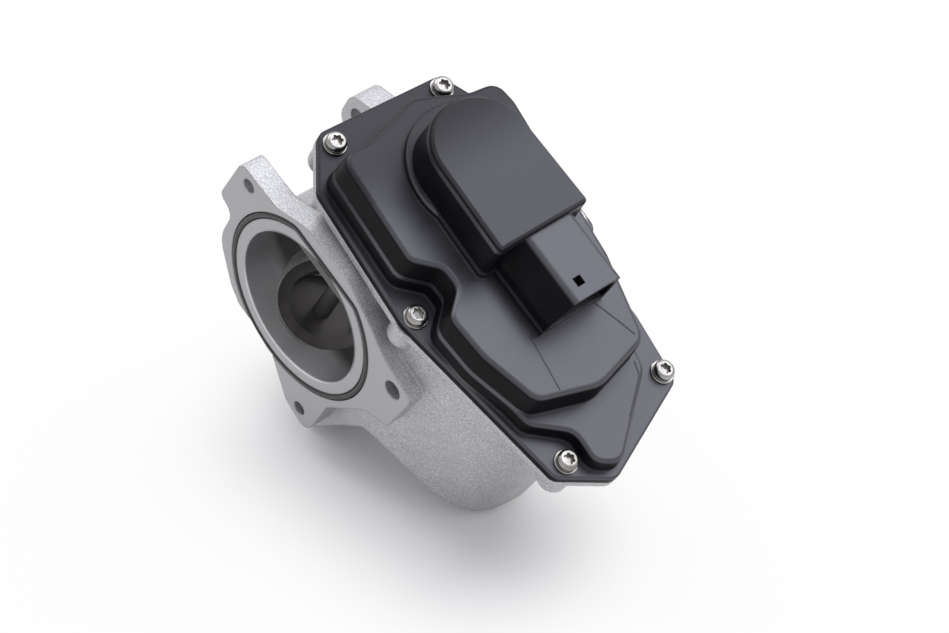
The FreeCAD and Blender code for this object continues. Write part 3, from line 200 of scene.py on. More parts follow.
class Graph:
    """The node tree of one material."""

    def __init__(self, name: str) -> None:
        """Start an empty material.

        Args:
            name: The material's name.
        """
        self.material = bpy.data.materials.new(name)
        self.material.use_nodes = True
        self.tree = self.material.node_tree
        self.tree.nodes.clear()

    def add(self, kind: str, settings: Mapping[str, Any] | None = None,
            inputs: Mapping[str | int, Any] | None = None) -> bpy.types.Node:
        """Add any node.

        Args:
            kind: The node's type.
            settings: Its own settings, which are made first.
            inputs: Values or links for its sockets, by name or number.

        Returns:
            The new node.
        """
        node = self.tree.nodes.new(kind)
        for key, value in (settings or {}).items():
            setattr(node, key, value)
        for key, value in (inputs or {}).items():
            source = value.socket if isinstance(value, Value) else value
            if isinstance(source, bpy.types.NodeSocket):
                self.tree.links.new(source, node.inputs[key])
            else:
                node.inputs[key].default_value = source
        return node

    def coords(self) -> bpy.types.NodeSocket:
        """Object coordinates."""
        return self.add("ShaderNodeTexCoord").outputs["Object"]

    def turned(self, tilt: float) -> bpy.types.NodeSocket:
        """Object coordinates in the valve's own frame, still in metres.

        Args:
            tilt: Angle at which the valve lies, in radians.
        """
        inputs = {"Vector": self.coords(), "Rotation": (0.0, -tilt, 0.0)}
        return self.add("ShaderNodeMapping", {"vector_type": "POINT"}, inputs).outputs["Vector"]

    def parts(self, vector: bpy.types.NodeSocket) -> tuple[Value, Value, Value]:
        """The three numbers of a vector."""
        node = self.add("ShaderNodeSeparateXYZ", None, {0: vector})
        return Value(self, node.outputs[0]), Value(self, node.outputs[1]), Value(self, node.outputs[2])

    def length(self, a: Value, b: Value) -> Value:
        """Length of a flat vector with sides a and b."""
        joined = self.add("ShaderNodeCombineXYZ", None, {0: a, 1: b}).outputs[0]
        node = self.add("ShaderNodeVectorMath", {"operation": "LENGTH"}, {0: joined})
        return Value(self, node.outputs["Value"])

    def noise(self, vector: bpy.types.NodeSocket, grain_mm: float, detail: float = 3.0,
              stretch: Point = (1.0, 1.0, 1.0)) -> Value:
        """Cloudy noise between 0 and 1.

        Args:
            vector: Coordinates in metres.
            grain_mm: Size of one grain.
            detail: How many finer layers are added.
            stretch: How much the pattern is squeezed along each axis.

        Returns:
            The noise as a value.
        """
        moved = self.add("ShaderNodeMapping", None, {"Vector": vector, "Scale": stretch}).outputs[0]
        inputs = {"Vector": moved, "Scale": 1.0 / (grain_mm * MM), "Detail": detail}
        return Value(self, self.add("ShaderNodeTexNoise", None, inputs).outputs[0])

    def blend(self, mask: Value | float, first: Any, second: Any) -> bpy.types.NodeSocket:
        """Mix of two colours.

        Args:
            mask: Share of the second colour.
            first: Colour or link where the mask is 0.
            second: Colour or link where the mask is 1.

        Returns:
            The mixed colour.
        """
        def four(colour: Any) -> Any:
            return (*colour, 1.0) if isinstance(colour, tuple) else colour

        inputs = {0: mask, 6: four(first), 7: four(second)}
        return self.add("ShaderNodeMix", {"data_type": "RGBA"}, inputs).outputs[2]

    def softened(self, radius_mm: float) -> bpy.types.NodeSocket:
        """Normal that rounds off edges by a small radius."""
        return self.add("ShaderNodeBevel", {"samples": 6}, {"Radius": radius_mm * MM}).outputs[0]

    def bumped(self, height: Value, depth_mm: float,
               normal: bpy.types.NodeSocket | None = None) -> bpy.types.NodeSocket:
        """Normal roughened by a height.

        Args:
            height: Height between 0 and 1.
            depth_mm: Depth that a height of 1 stands for.
            normal: Normal that the bumps are laid on.

        Returns:
            The new normal.
        """
        inputs: dict[str | int, Any] = {"Height": height, "Distance": depth_mm * MM, "Strength": 1.0}
        if normal is not None:
            inputs["Normal"] = normal
        return self.add("ShaderNodeBump", None, inputs).outputs["Normal"]

    def shader(self, **inputs: Any) -> bpy.types.NodeSocket:
        """Add a Principled shader.

        Args:
            **inputs: Its sockets, with underscores for spaces.

        Returns:
            Its output.
        """
        named = {key.replace("_", " "): value for key, value in inputs.items()}
        return self.add("ShaderNodeBsdfPrincipled", None, named).outputs[0]

    def mixed(self, share: Value, first: bpy.types.NodeSocket,
              second: bpy.types.NodeSocket) -> bpy.types.NodeSocket:
        """Join two shaders; a share of 1 shows the second alone."""
        return self.add("ShaderNodeMixShader", None, {0: share, 1: first, 2: second}).outputs[0]

    def close(self, surface: bpy.types.NodeSocket) -> bpy.types.Material:
        """Close the tree with the surface's shader and hand over the material."""
        self.add("ShaderNodeOutputMaterial", None, {"Surface": surface})
        return self.material

    def finish(self, **inputs: Any) -> bpy.types.Material:
        """Close the tree with a single Principled shader.

        Args:
            **inputs: Its sockets, with underscores for spaces.

        Returns:
            The finished material.
        """
        return self.close(self.shader(**inputs))


@dataclass(frozen=True)
class Finish:
    """A plain finish whose colour, gloss and grain vary a little over the surface."""

    name: str
    colour: Colour
    worn: Colour
    roughness: float = 0.4
    spread: float = 0.1
    metallic: float = 0.0
    grain_mm: float = 0.5
    depth_mm: float = 0.01
    patch_mm: float = 6.0
    edge_mm: float = 0.15
    stretch: Point = (1.0, 1.0, 1.0)

    def material(self) -> bpy.types.Material:
        """Build the finish."""
        graph = Graph(self.name)
        place = graph.coords()
        grain = graph.noise(place, self.grain_mm, 2.0, self.stretch)
        patches = graph.noise(place, self.patch_mm, 4.0)
        colour = graph.blend(patches.ramp(0.35, 0.75), self.colour, self.worn)
        gloss = self.roughness + (patches - 0.5) * self.spread + (grain - 0.5) * (self.spread / 2)
        normal = graph.bumped(grain, self.depth_mm, graph.softened(self.edge_mm))
        return graph.finish(Base_Color=colour, Roughness=gloss, Metallic=self.metallic, Normal=normal)


@dataclass(frozen=True)
class CastFinish:
    """Fine-grained die-cast aluminium with machined faces and a darker duct.

    Machined are the three flange faces and a slanting band at the duct's mouth; its lower side has a painted
    highlight.
    """

    tilt: float
    name: str = "die_cast_aluminium"
    cast: Colour = (0.66, 0.66, 0.68)
    shade: Colour = (0.38, 0.38, 0.395)
    machined: Colour = (0.41, 0.41, 0.425)
    # The light turned colour is a painted highlight: the machined band at the duct's mouth turns to it on its
    # lower side.
    turned: Colour = (0.72, 0.72, 0.74)
    duct: Colour = (0.085, 0.08, 0.078)
    duct_r: float = 26.9
    duct_edge_mm: float = 0.4
    duct_length: float = 60.0
    turned_depth: float = 2.0
    turned_fade: float = 6.0
    turned_slope: float = 0.45
    turned_side_slope: float = 0.1
    painted_highlight_z: tuple[float, float] = (-8.0, -22.0)
    gas_face_z: float = -57.1
    edge_mm: float = 0.9
    cloud_mm: float = 9.0
    roughness: float = 0.52
    metallic: float = 0.75
    grain_mm: float = 0.42
    grain_depth_mm: float = 0.11
    face_band_mm: float = 0.06

    def material(self) -> bpy.types.Material:
        """Build the finish."""
        graph = Graph(self.name)
        place = graph.turned(self.tilt)
        x, y, z = graph.parts(place)
        band = self.face_band_mm * MM
        front = y.size().ramp(band, 0.0)
        rear = (y - self.duct_length * MM).size().ramp(band, 0.0)
        gas = (z - self.gas_face_z * MM).size().ramp(band, 0.0)
        face = front.larger(rear).larger(gas)
        reach = graph.length(x, z)
        inside = reach.ramp((self.duct_r + self.duct_edge_mm) * MM, self.duct_r * MM)
        lean = y + z * self.turned_slope + x * self.turned_side_slope
        deep = lean.ramp(self.turned_depth * MM, (self.turned_depth + self.turned_fade) * MM)
        deep = deep * y.ramp(self.duct_length * MM, (self.duct_length - self.turned_fade) * MM) * inside
        turned = inside * (1 - deep)
        smooth = face.larger(turned)
        grain = graph.noise(place, self.grain_mm, 2.0)
        pits = graph.noise(place, self.grain_mm * 3, 3.0)
        clouds = graph.noise(place, self.cloud_mm, 4.0)
        mottle = clouds.ramp(0.3, 0.7) * 0.15 + grain.ramp(0.38, 0.66) * 0.85
        rough_skin = graph.blend(mottle, self.shade, self.cast)
        # Painted highlight: the machined band turns lighter towards its lower side, as if lit from above.
        high, low = self.painted_highlight_z
        metal = graph.blend(turned * z.ramp(high * MM, low * MM), self.machined, self.turned)
        skin = graph.blend(smooth, rough_skin, metal)
        colour = graph.blend(deep, skin, self.duct)
        gloss = self.roughness - smooth * 0.12 + (clouds - 0.5) * 0.12
        height = grain * 0.6 + pits * 0.6
        relief = height * (1 - smooth * 0.85)
        normal = graph.bumped(relief, self.grain_depth_mm, graph.softened(self.edge_mm))
        metallic = self.metallic - deep * 0.45
        return graph.finish(Base_Color=colour, Roughness=gloss, Metallic=metallic, Normal=normal)


@dataclass(frozen=True)
class CoverFinish:
    """Satin glass-filled plastic: glossier on its level tops with a painted sheen, nearly black on its sides
    with painted shade.
    """

    tilt: float
    name: str = "moulded_cover"
    # Sides: the plastic's own black made darker still, with little specular, as painted shade. Tops: a
    # lighter colour, a blue specular tint and a high IOR, as a painted sheen.
    colour: Colour = (0.004, 0.004, 0.005)
    bloom: Colour = (0.007, 0.007, 0.009)
    roughness: float = 0.42
    grain_mm: float = 0.35
    grain_depth_mm: float = 0.018
    flow_mm: float = 7.0
    flow_stretch: Point = (1.0, 0.35, 1.0)
    edge_mm: float = 0.35
    levels: tuple[float, ...] = (42.0, 48.0, 58.0, 60.6, 73.4, 76.0)
    level_band: tuple[float, float] = (1.3, 0.5)
    dome_z: tuple[float, float] = (74.6, 75.1)
    # The painted sheen on the tops grows from the first x to the second.
    painted_reflection_low_x: float = -14.0
    painted_reflection_high_x: float = 12.0
    painted_top_colour: Colour = (0.014, 0.014, 0.020)
    tint: Colour = (0.89, 0.90, 1.0)
    painted_shade_specular: float = 0.07
    painted_reflection_ior: float = 1.9

    def material(self) -> bpy.types.Material:
        """Build the finish."""
        graph = Graph(self.name)
        place = graph.turned(self.tilt)
        x, _, height = graph.parts(place)
        tops = self.near(height, self.levels[0])
        for level in self.levels[1:]:
            tops = tops.larger(self.near(height, level))
        dome = height.ramp(self.dome_z[0] * MM, self.dome_z[1] * MM)
        grain = graph.noise(place, self.grain_mm, 3.0)
        flow = graph.noise(place, self.flow_mm, 5.0, self.flow_stretch)
        colour = graph.blend(flow.ramp(0.3, 0.75), self.colour, self.bloom)
        gloss = self.roughness + (flow - 0.5) * 0.16 + (grain - 0.5) * 0.10
        normal = graph.bumped(grain * 0.7 + flow * 0.3, self.grain_depth_mm, graph.softened(self.edge_mm))
        # Painted sheen: its share grows towards +X, is cut on the dome top and varies with the flow marks.
        right = x.ramp(self.painted_reflection_low_x * MM, self.painted_reflection_high_x * MM)
        share = tops * (0.35 + right * 0.65) * (1 - dome * 0.4) * (0.75 + flow * 0.4)
        # The side shader is painted shade, the top shader a lit copy of it with a painted sheen.
        side = graph.shader(Base_Color=colour, Roughness=gloss, Specular_IOR_Level=self.painted_shade_specular,
                            Normal=normal)
        top = graph.shader(Base_Color=(*self.painted_top_colour, 1.0), Roughness=gloss, IOR=self.painted_reflection_ior,
                           Specular_Tint=(*self.tint, 1.0), Normal=normal)
        return graph.close(graph.mixed(share, side, top))

    def near(self, height: Value, level: float) -> Value:
        """Mask of what lies about as high as one of the cover's tops."""
        far, close = self.level_band
        return (height - level * MM).size().ramp(far * MM, close * MM)


FINISHES: dict[str, Finish] = {
    "gasket_rubber": Finish(
        "gasket_rubber", colour=(0.018, 0.018, 0.018), worn=(0.03, 0.03, 0.03),
        roughness=0.6),
    "seal_rubber": Finish(
        "seal_rubber", colour=(0.012, 0.012, 0.013), worn=(0.022, 0.022, 0.024),
        roughness=0.34, spread=0.1, metallic=0.0, grain_mm=0.3, depth_mm=0.006),
    "plated_screws": Finish(
        "bright_plate", colour=(0.40, 0.39, 0.38), worn=(0.26, 0.25, 0.24),
        roughness=0.24, spread=0.12, metallic=1.0, grain_mm=0.6, depth_mm=0.006),
    "bright_steel": Finish(
        "ground_steel", colour=(0.60, 0.60, 0.61), worn=(0.50, 0.50, 0.51),
        roughness=0.26, spread=0.12, metallic=1.0, grain_mm=0.2, depth_mm=0.004, stretch=(1.0, 1.0, 0.1)),
    "tinned_brass": Finish(
        "tinned_contacts", colour=(0.74, 0.70, 0.58), worn=(0.66, 0.60, 0.44),
        roughness=0.28, spread=0.1, metallic=1.0, grain_mm=0.3, depth_mm=0.004),
    "board_laminate": Finish(
        "solder_mask", colour=(0.012, 0.07, 0.03), worn=(0.02, 0.10, 0.045),
        roughness=0.32, spread=0.08, metallic=0.0, grain_mm=0.8, depth_mm=0.01),
    "gear_plastic": Finish(
        "moulded_gear", colour=(0.62, 0.58, 0.47), worn=(0.70, 0.67, 0.57),
        roughness=0.44, spread=0.1, metallic=0.0, grain_mm=0.4, depth_mm=0.012),
    "sintered_steel": Finish(
        "sintered_steel", colour=(0.30, 0.30, 0.31), worn=(0.38, 0.38, 0.39),
        roughness=0.48, spread=0.12, metallic=0.9, grain_mm=0.3, depth_mm=0.02),
    "magnet": Finish(
        "ground_ferrite", colour=(0.035, 0.035, 0.04), worn=(0.06, 0.06, 0.065),
        roughness=0.5, spread=0.1, metallic=0.2, grain_mm=0.4, depth_mm=0.01),
    "spring_steel": Finish(
        "drawn_wire", colour=(0.40, 0.40, 0.41), worn=(0.30, 0.29, 0.28),
        roughness=0.32, spread=0.14, metallic=1.0, grain_mm=0.3, depth_mm=0.006),
    "motor_steel": Finish(
        "zinc_sheet", colour=(0.50, 0.50, 0.48), worn=(0.58, 0.57, 0.54),
        roughness=0.36, spread=0.14, metallic=1.0, grain_mm=1.4, depth_mm=0.008),
    "bronze": Finish(
        "sintered_bronze", colour=(0.42, 0.26, 0.11), worn=(0.52, 0.35, 0.17),
        roughness=0.42, spread=0.12, metallic=1.0, grain_mm=0.25, depth_mm=0.015),
    "lamination_steel": Finish(
        "stacked_sheet", colour=(0.18, 0.18, 0.19), worn=(0.26, 0.25, 0.25),
        roughness=0.45, spread=0.1, metallic=0.9, grain_mm=0.35, depth_mm=0.04, stretch=(0.1, 0.1, 1.0)),
    "copper": Finish(
        "turned_copper", colour=(0.70, 0.33, 0.18), worn=(0.55, 0.25, 0.13),
        roughness=0.3, spread=0.12, metallic=1.0, grain_mm=0.3, depth_mm=0.006),
    "carbon": Finish(
        "pressed_carbon", colour=(0.02, 0.02, 0.02), worn=(0.04, 0.04, 0.042),
        roughness=0.55, spread=0.1, metallic=0.1, grain_mm=0.3, depth_mm=0.01),
    "brass": Finish(
        "hobbed_brass", colour=(0.66, 0.47, 0.18), worn=(0.56, 0.39, 0.14),
        roughness=0.28, spread=0.1, metallic=1.0, grain_mm=0.3, depth_mm=0.006),
    "seat_steel": Finish(
        "heat_tinted_seat", colour=(0.12, 0.11, 0.11), worn=(0.16, 0.145, 0.145),
        roughness=0.5, spread=0.14, metallic=0.4, grain_mm=0.5, depth_mm=0.01),
    "valve_steel": Finish(
        "heat_tinted_valve", colour=(0.12, 0.11, 0.11), worn=(0.15, 0.14, 0.14),
        roughness=0.48, spread=0.14, metallic=0.4, grain_mm=0.3, depth_mm=0.006),
}


class Workshop:
    """Turns meshes drawn in the valve's own frame into finished pieces."""

    def __init__(self, frame: ValveFrame, finishes: Mapping[str, bpy.types.Material]) -> None:
        """Keep what every piece needs.

        Args:
            frame: The valve's own frame.
            finishes: Material of each slot.
        """
        self.frame = frame
        self.finishes = finishes

    def piece(self, name: str, mesh: bpy.types.Mesh, slot: Slot,
              replaced: Sequence[str] = ()) -> bpy.types.Object:
        """Place a mesh, dress it and make it ride on the casting.

        Args:
            name: The piece's name.
            mesh: Its mesh, in metres in the valve's own frame.
            slot: Material slot that its finish is for.
            replaced: CAD nodes that it stands for.

        Returns:
            The finished object.
        """
        mesh.transform(self.frame.turn())
        mesh.materials.clear()
        mesh.materials.append(self.finishes[slot.value])
        mesh.name = name
        obj = bpy.data.objects.new(name, mesh)
        bpy.context.collection.objects.link(obj)
        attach(obj, Body.CASTING.value)
        if replaced:
            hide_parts(*replaced)
        LOG.info("%s: %d faces", name, len(mesh.polygons))
        return obj


def mesh_from(build: Callable[[bmesh.types.BMesh], None], name: str, smooth: bool = True) -> bpy.types.Mesh:
    """Make a mesh with outward faces.

    Args:
        build: Fills the empty mesh, in metres.
        name: The mesh's name.
        smooth: Whether its faces are shaded smooth.

    Returns:
        The new mesh.
    """
    work = bmesh.new()
    build(work)
    bmesh.ops.remove_doubles(work, verts=work.verts, dist=1e-7)
    bmesh.ops.recalc_face_normals(work, faces=work.faces)
    mesh = bpy.data.meshes.new(name)
    work.to_mesh(mesh)
    work.free()
    for face in mesh.polygons:
        face.use_smooth = smooth
    return mesh


def bridge(work: bmesh.types.BMesh, lower: Sequence[bmesh.types.BMVert],
           upper: Sequence[bmesh.types.BMVert]) -> None:
    """Join two closed rings of as many points with a band of faces."""
    count = len(lower)
    for k in range(count):
        after = (k + 1) % count
        work.faces.new((lower[k], lower[after], upper[after], upper[k]))


def swept(work: bmesh.types.BMesh, path: Sequence[Vector], section: Sequence[tuple[float, float]],
          closed: bool, up: Vector) -> None:
    """Sweep a section along a path that keeps clear of one direction.

    Args:
        work: Mesh that gets the sweep.
        path: Points in metres.
        section: Corners as (aside, up) in metres.
        closed: Whether the path is a loop.
        up: Direction that the section's second number follows.
    """
    rings = []
    count = len(path)
    for k, point in enumerate(path):
        before = path[k - 1] if closed or k else point
        after = path[(k + 1) % count] if closed or k + 1 < count else point
        along = (after - before).normalized()
        aside = along.cross(up).normalized()
        lift = aside.cross(along).normalized()
        rings.append([work.verts.new(point + aside * a + lift * b) for a, b in section])
    for k in range(count if closed else count - 1):
        bridge(work, rings[k], rings[(k + 1) % count])
    if not closed:
        work.faces.new(list(reversed(rings[0])))
        work.faces.new(rings[-1])


def round_section(radius_mm: float, sides: int) -> list[tuple[float, float]]:
    """Corners of a round section, in metres."""
    turn = 2 * math.pi / sides
    return [(radius_mm * MM * math.cos(k * turn), radius_mm * MM * math.sin(k * turn)) for k in range(sides)]


class NodeTree:
    """A Geometry Nodes tree with named inputs, run once on a mesh."""

    def __init__(self, name: str) -> None:
        """Start an empty tree.

        Args:
            name: The tree's name.
        """
        self.tree = bpy.data.node_groups.new(name, "GeometryNodeTree")
        self.tree.interface.new_socket("Geometry", in_out="OUTPUT", socket_type="NodeSocketGeometry")
        self.tree.interface.new_socket("Geometry", in_out="INPUT", socket_type="NodeSocketGeometry")
        self.identifiers: dict[str, str] = {}
        self.start = self.tree.nodes.new("NodeGroupInput")
        self.end = self.tree.nodes.new("NodeGroupOutput")

    def named(self, name: str, kind: str) -> None:
        """Add a named input of the given socket type."""
        socket = self.tree.interface.new_socket(name, in_out="INPUT", socket_type=kind)
        self.identifiers[name] = socket.identifier

    def source(self, name: str) -> bpy.types.NodeSocket:
        """The named input, inside the tree."""
        return self.start.outputs[name]

    def add(self, kind: str, settings: Mapping[str, Any] | None = None,
            inputs: Mapping[str | int, Any] | None = None) -> bpy.types.Node:
        """Add any node.

        Args:
            kind: The node's type.
            settings: Its own settings.
            inputs: Values or links for its sockets.

        Returns:
            The new node.
        """
        node = self.tree.nodes.new(kind)
        for key, value in (settings or {}).items():
            setattr(node, key, value)
        for key, value in (inputs or {}).items():
            if isinstance(value, bpy.types.NodeSocket):
                self.tree.links.new(value, node.inputs[key])
            else:
                node.inputs[key].default_value = value
        return node

    def close(self, geometry: bpy.types.NodeSocket, material: bpy.types.Material) -> None:
        """End the tree in real geometry with a material.

        Args:
            geometry: What the tree has made.
            material: Its finish.
        """
        real = self.add("GeometryNodeRealizeInstances", None, {"Geometry": geometry})
        inputs = {"Geometry": real.outputs[0], "Material": material}
        dressed = self.add("GeometryNodeSetMaterial", None, inputs)
        self.tree.links.new(dressed.outputs[0], self.end.inputs["Geometry"])

    def run(self, points: Sequence[Vector], values: Mapping[str, Any]) -> bpy.types.Mesh:
        """Run the tree on a set of points and return the plain mesh.

        Args:
            points: Points of the mesh that the tree starts from, in metres.
            values: Value of each named input.

        Returns:
            The mesh that the tree makes.
        """
        seed = bpy.data.meshes.new(self.tree.name)
        seed.from_pydata([tuple(p) for p in points], [], [])
        host = bpy.data.objects.new(self.tree.name, seed)
        bpy.context.collection.objects.link(host)
        modifier = host.modifiers.new("nodes", "NODES")
        modifier.node_group = self.tree
        for name, value in values.items():
            modifier[self.identifiers[name]] = value
        bpy.context.view_layer.update()
        graph = bpy.context.evaluated_depsgraph_get()
        made = bpy.data.meshes.new_from_object(host.evaluated_get(graph))
        bpy.data.objects.remove(host)
        bpy.data.meshes.remove(seed)
        return made


@dataclass
class CoverScrews:
    """Six pan-head screws with a six-lobe recess, each on its washer."""

    shop: Workshop
    places: tuple[tuple[float, float], ...] = (
        (-29.0, 20.6), (-28.7, 64.9), (30.4, 6.9), (91.8, 19.0), (85.0, 66.7), (30.0, 75.0))
    seat_z: float = 42.0
    washer_r: float = 4.0
    washer_thick: float = 0.8
    head_r: float = 3.45
    head_high: float = 2.4
    crown_r: float = 2.3
    recess_r: float = 1.62
    lobe: float = 0.24
    recess_deep: float = 1.5
    bore_r: float = 2.0
    edge: float = 0.12
    wall_high: float = 1.1
    crown_steps: int = 6
    crease_deg: float = 38.0
    sides: int = 48
    seed: int = 4

    def ring(self, work: bmesh.types.BMesh, radius: float, z: float,
             lobe: float = 0.0) -> list[bmesh.types.BMVert]:
        """One level ring of points, lobed where asked.

        Args:
            work: Mesh that gets the points.
            radius: Radius in millimetres.
            z: Height above the washer's seat in millimetres.
            lobe: How far the six lobes stand out and in.

        Returns:
            The new points.
        """
        ring = []
        for k in range(self.sides):
            angle = 2 * math.pi * k / self.sides
            reach = (radius + lobe * math.cos(6 * angle)) * MM
            ring.append(work.verts.new((reach * math.cos(angle), reach * math.sin(angle), z * MM)))
        return ring

    def build_head(self, work: bmesh.types.BMesh) -> None:
        """Washer, rounded head and recess as one turned form."""
        seat, edge = self.washer_thick, self.edge
        top, base = seat + self.head_high, seat + self.wall_high
        profile = [(self.bore_r, 0.0, 0.0), (self.washer_r - edge, 0.0, 0.0), (self.washer_r, edge, 0.0),
                   (self.washer_r, seat - 0.18, 0.0), (self.washer_r - 0.2, seat, 0.0),
                   (self.head_r - 0.25, seat, 0.0), (self.head_r - edge, seat + edge, 0.0),
                   (self.head_r, seat + 0.4, 0.0), (self.head_r, base, 0.0)]
        for step in range(1, self.crown_steps):
            angle = math.pi / 2 * step / self.crown_steps
            reach = self.crown_r + (self.head_r - self.crown_r) * math.cos(angle)
            profile.append((reach, base + (top - base) * math.sin(angle), 0.0))
        profile += [(self.crown_r - 0.15, top, 0.0), (self.recess_r + edge, top, self.lobe),
                    (self.recess_r, top - edge, self.lobe),
                    (self.recess_r - 0.05, top - self.recess_deep, self.lobe)]
        rings = [self.ring(work, radius, z, lobe) for radius, z, lobe in profile]
        for lower, upper in zip(rings, rings[1:]):
            bridge(work, lower, upper)
        work.faces.new(rings[-1])
        work.faces.new(list(reversed(rings[0])))

    def tree(self, screw: bpy.types.Object, material: bpy.types.Material) -> NodeTree:
        """Tree that sets one turned screw on each point.

        Args:
            screw: The screw that is repeated.
            material: Its finish.

        Returns:
            The tree, ready to run.
        """
        tree = NodeTree("screw_pattern")
        tree.named("Screw", "NodeSocketObject")
        tree.named("Turn Seed", "NodeSocketInt")
        info = tree.add("GeometryNodeObjectInfo", None, {"Object": tree.source("Screw")})
        turn = tree.add("FunctionNodeRandomValue", {"data_type": "FLOAT_VECTOR"}, {
            0: (0.0, 0.0, 0.0), 1: (0.0, 0.0, math.tau), "Seed": tree.source("Turn Seed")})
        spread = tree.add("GeometryNodeInstanceOnPoints", None, {
            "Points": tree.source("Geometry"), "Instance": info.outputs["Geometry"],
            "Rotation": turn.outputs[0]})
        tree.close(spread.outputs[0], material)
        return tree

    def build(self) -> bpy.types.Object:
        """Make the six screws as one piece."""
        mesh = mesh_from(self.build_head, "pan_screw")
        screw = bpy.data.objects.new("pan_screw", mesh)
        bpy.context.collection.objects.link(screw)
        material = self.shop.finishes[Slot.SCREWS.value]
        points = [Vector((x, y, self.seat_z)) * MM for x, y in self.places]
        made = self.tree(screw, material).run(points, {"Screw": screw, "Turn Seed": self.seed})
        bpy.data.objects.remove(screw)
        made.set_sharp_from_angle(angle=math.radians(self.crease_deg))
        return self.shop.piece("cover_screw_set", made, Slot.SCREWS, ["cover_screws"])


@dataclass
class PortSeal:
    """Round rubber cord in the dee-shaped groove of the outlet port."""

    shop: Workshop
    groove_r: float = 30.7
    groove_wide: float = 2.45
    groove_deep: float = 1.9
    flat_z: float = 26.85
    corner_r: float = 4.0
    cord_r: float = 1.07
    sides: int = 14
    corner_steps: int = 8
    round_steps: int = 96

    def path(self) -> list[Vector]:
        """Middle line of the cord, in metres."""
        middle = self.groove_wide / 2
        radius, flat, corner = self.groove_r + middle, self.flat_z + middle, self.corner_r + middle
        level = flat - corner
        side = math.sqrt((radius - corner) ** 2 - level ** 2)
        lean = math.atan2(level, side)
        depth = self.groove_deep - self.cord_r
        right = []
        for k in range(self.corner_steps + 1):
            angle = lean + (math.pi / 2 - lean) * k / self.corner_steps
            right.append((side + corner * math.cos(angle), level + corner * math.sin(angle)))
        left = [(-x, z) for x, z in reversed(right)]
        round_arc = []
        sweep = math.pi + 2 * lean
        for k in range(1, self.round_steps):
            angle = math.pi - lean + sweep * k / self.round_steps
            round_arc.append((radius * math.cos(angle), radius * math.sin(angle)))
        return [Vector((x, depth, z)) * MM for x, z in right + left + round_arc]

    def build(self) -> bpy.types.Object:
        """Make the cord."""
        def fill(work: bmesh.types.BMesh) -> None:
            swept(work, self.path(), round_section(self.cord_r, self.sides), True, Vector((0, 1, 0)))

        return self.shop.piece("port_seal_cord", mesh_from(fill, "port_seal_cord"), Slot.SEAL, ["port_seal"])


@dataclass
class Coil:
    """A wound wire between two heights, made by a tree that follows a spiral."""

    shop: Workshop
    name: str
    x: float
    y: float
    low: float
    high: float
    mean_r: float
    wire_r: float
    turns: float
    replaced: str
    turn_steps: int = 40
    sides: int = 12

    def build(self) -> bpy.types.Object:
        """Make the wire."""
        tree = NodeTree(self.name)
        for label in ("Turns", "Radius", "Height", "Wire Radius"):
            tree.named(label, "NodeSocketFloat")
        spiral = tree.add("GeometryNodeCurveSpiral", None, {
            "Resolution": self.turn_steps, "Rotations": tree.source("Turns"), "Height": tree.source("Height"),
            "Start Radius": tree.source("Radius"), "End Radius": tree.source("Radius")})
        wire = tree.add("GeometryNodeCurvePrimitiveCircle", None, {
            "Resolution": self.sides, "Radius": tree.source("Wire Radius")})
        swept_wire = tree.add("GeometryNodeCurveToMesh", None, {
            "Curve": spiral.outputs[0], "Profile Curve": wire.outputs[0], "Fill Caps": True})
        smooth = tree.add("GeometryNodeSetShadeSmooth", None, {0: swept_wire.outputs[0]})
        tree.close(smooth.outputs[0], self.shop.finishes[Slot.SPRING.value])
        rise = self.high - self.low - 2 * self.wire_r
        made = tree.run([Vector((0, 0, 0))], {
            "Turns": self.turns, "Radius": self.mean_r * MM, "Height": rise * MM,
            "Wire Radius": self.wire_r * MM})
        made.transform(Matrix.Translation(Vector((self.x, self.y, self.low + self.wire_r)) * MM))
        return self.shop.piece(self.name, made, Slot.SPRING, [self.replaced])


@dataclass
class Springs:
    """The closing spring on the stem and the return spring on the output hub."""

    shop: Workshop
    stem: tuple[float, float] = (-2.5, 24.0)
    hub: tuple[float, float] = (2.0, 40.0)
    floor_z: float = 28.0
    retainer_z: float = 40.2
    lift: float = 7.0
    boss_z: float = 33.4
    end_gap: float = 0.1

    def build(self) -> list[bpy.types.Object]:
        """Make both springs."""
        low, high = self.floor_z + self.end_gap, self.retainer_z - self.end_gap
        closing = Coil(self.shop, "closing_spring_wire", *self.stem, low, high,
                       mean_r=5.2, wire_r=0.55, turns=3.5, replaced="valve_spring").build()
        rest = self.retainer_z - self.floor_z
        frame = self.shop.frame
        foot = frame.place(*self.stem, self.floor_z)
        (rest - self.lift) / rest
        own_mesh(closing)
        torsion = Coil(self.shop, "return_spring_wire", *self.hub, self.boss_z + 0.2, self.boss_z + 9.0,
                       mean_r=9.4, wire_r=0.7, turns=4.5, replaced="return_spring").build()
        return [closing, torsion]


@dataclass
class CoverMarks:
    """Fine mould lines that stand a little proud of the cover's decks."""

    shop: Workshop
    wide: float = 0.34
    high: float = 0.16
    sunk: float = 0.10
    lines: tuple[tuple[Point, ...], ...] = (
        ((56.4, 25.3, 58.0), (66.0, 24.0, 58.0), (74.6, 22.6, 58.0)),
        ((56.2, 50.8, 58.0), (66.0, 54.2, 58.0), (72.6, 56.2, 58.0)),
        ((78.2, 57.0, 48.0), (82.8, 55.2, 48.0), (91.6, 43.4, 48.0)),
    )

    def build(self) -> bpy.types.Object:
        """Make the lines as one piece."""
        half = self.wide / 2 * MM
        low, high = -self.sunk * MM, self.high * MM
        section = [(-half, low), (half, low), (half, high), (-half, high)]

        def fill(work: bmesh.types.BMesh) -> None:
            for line in self.lines:
                swept(work, [Vector(point) * MM for point in line], section, False, Vector((0, 0, 1)))

        mesh = mesh_from(fill, "cover_mould_lines", smooth=False)
        return self.shop.piece("cover_mould_lines", mesh, Slot.COVER)


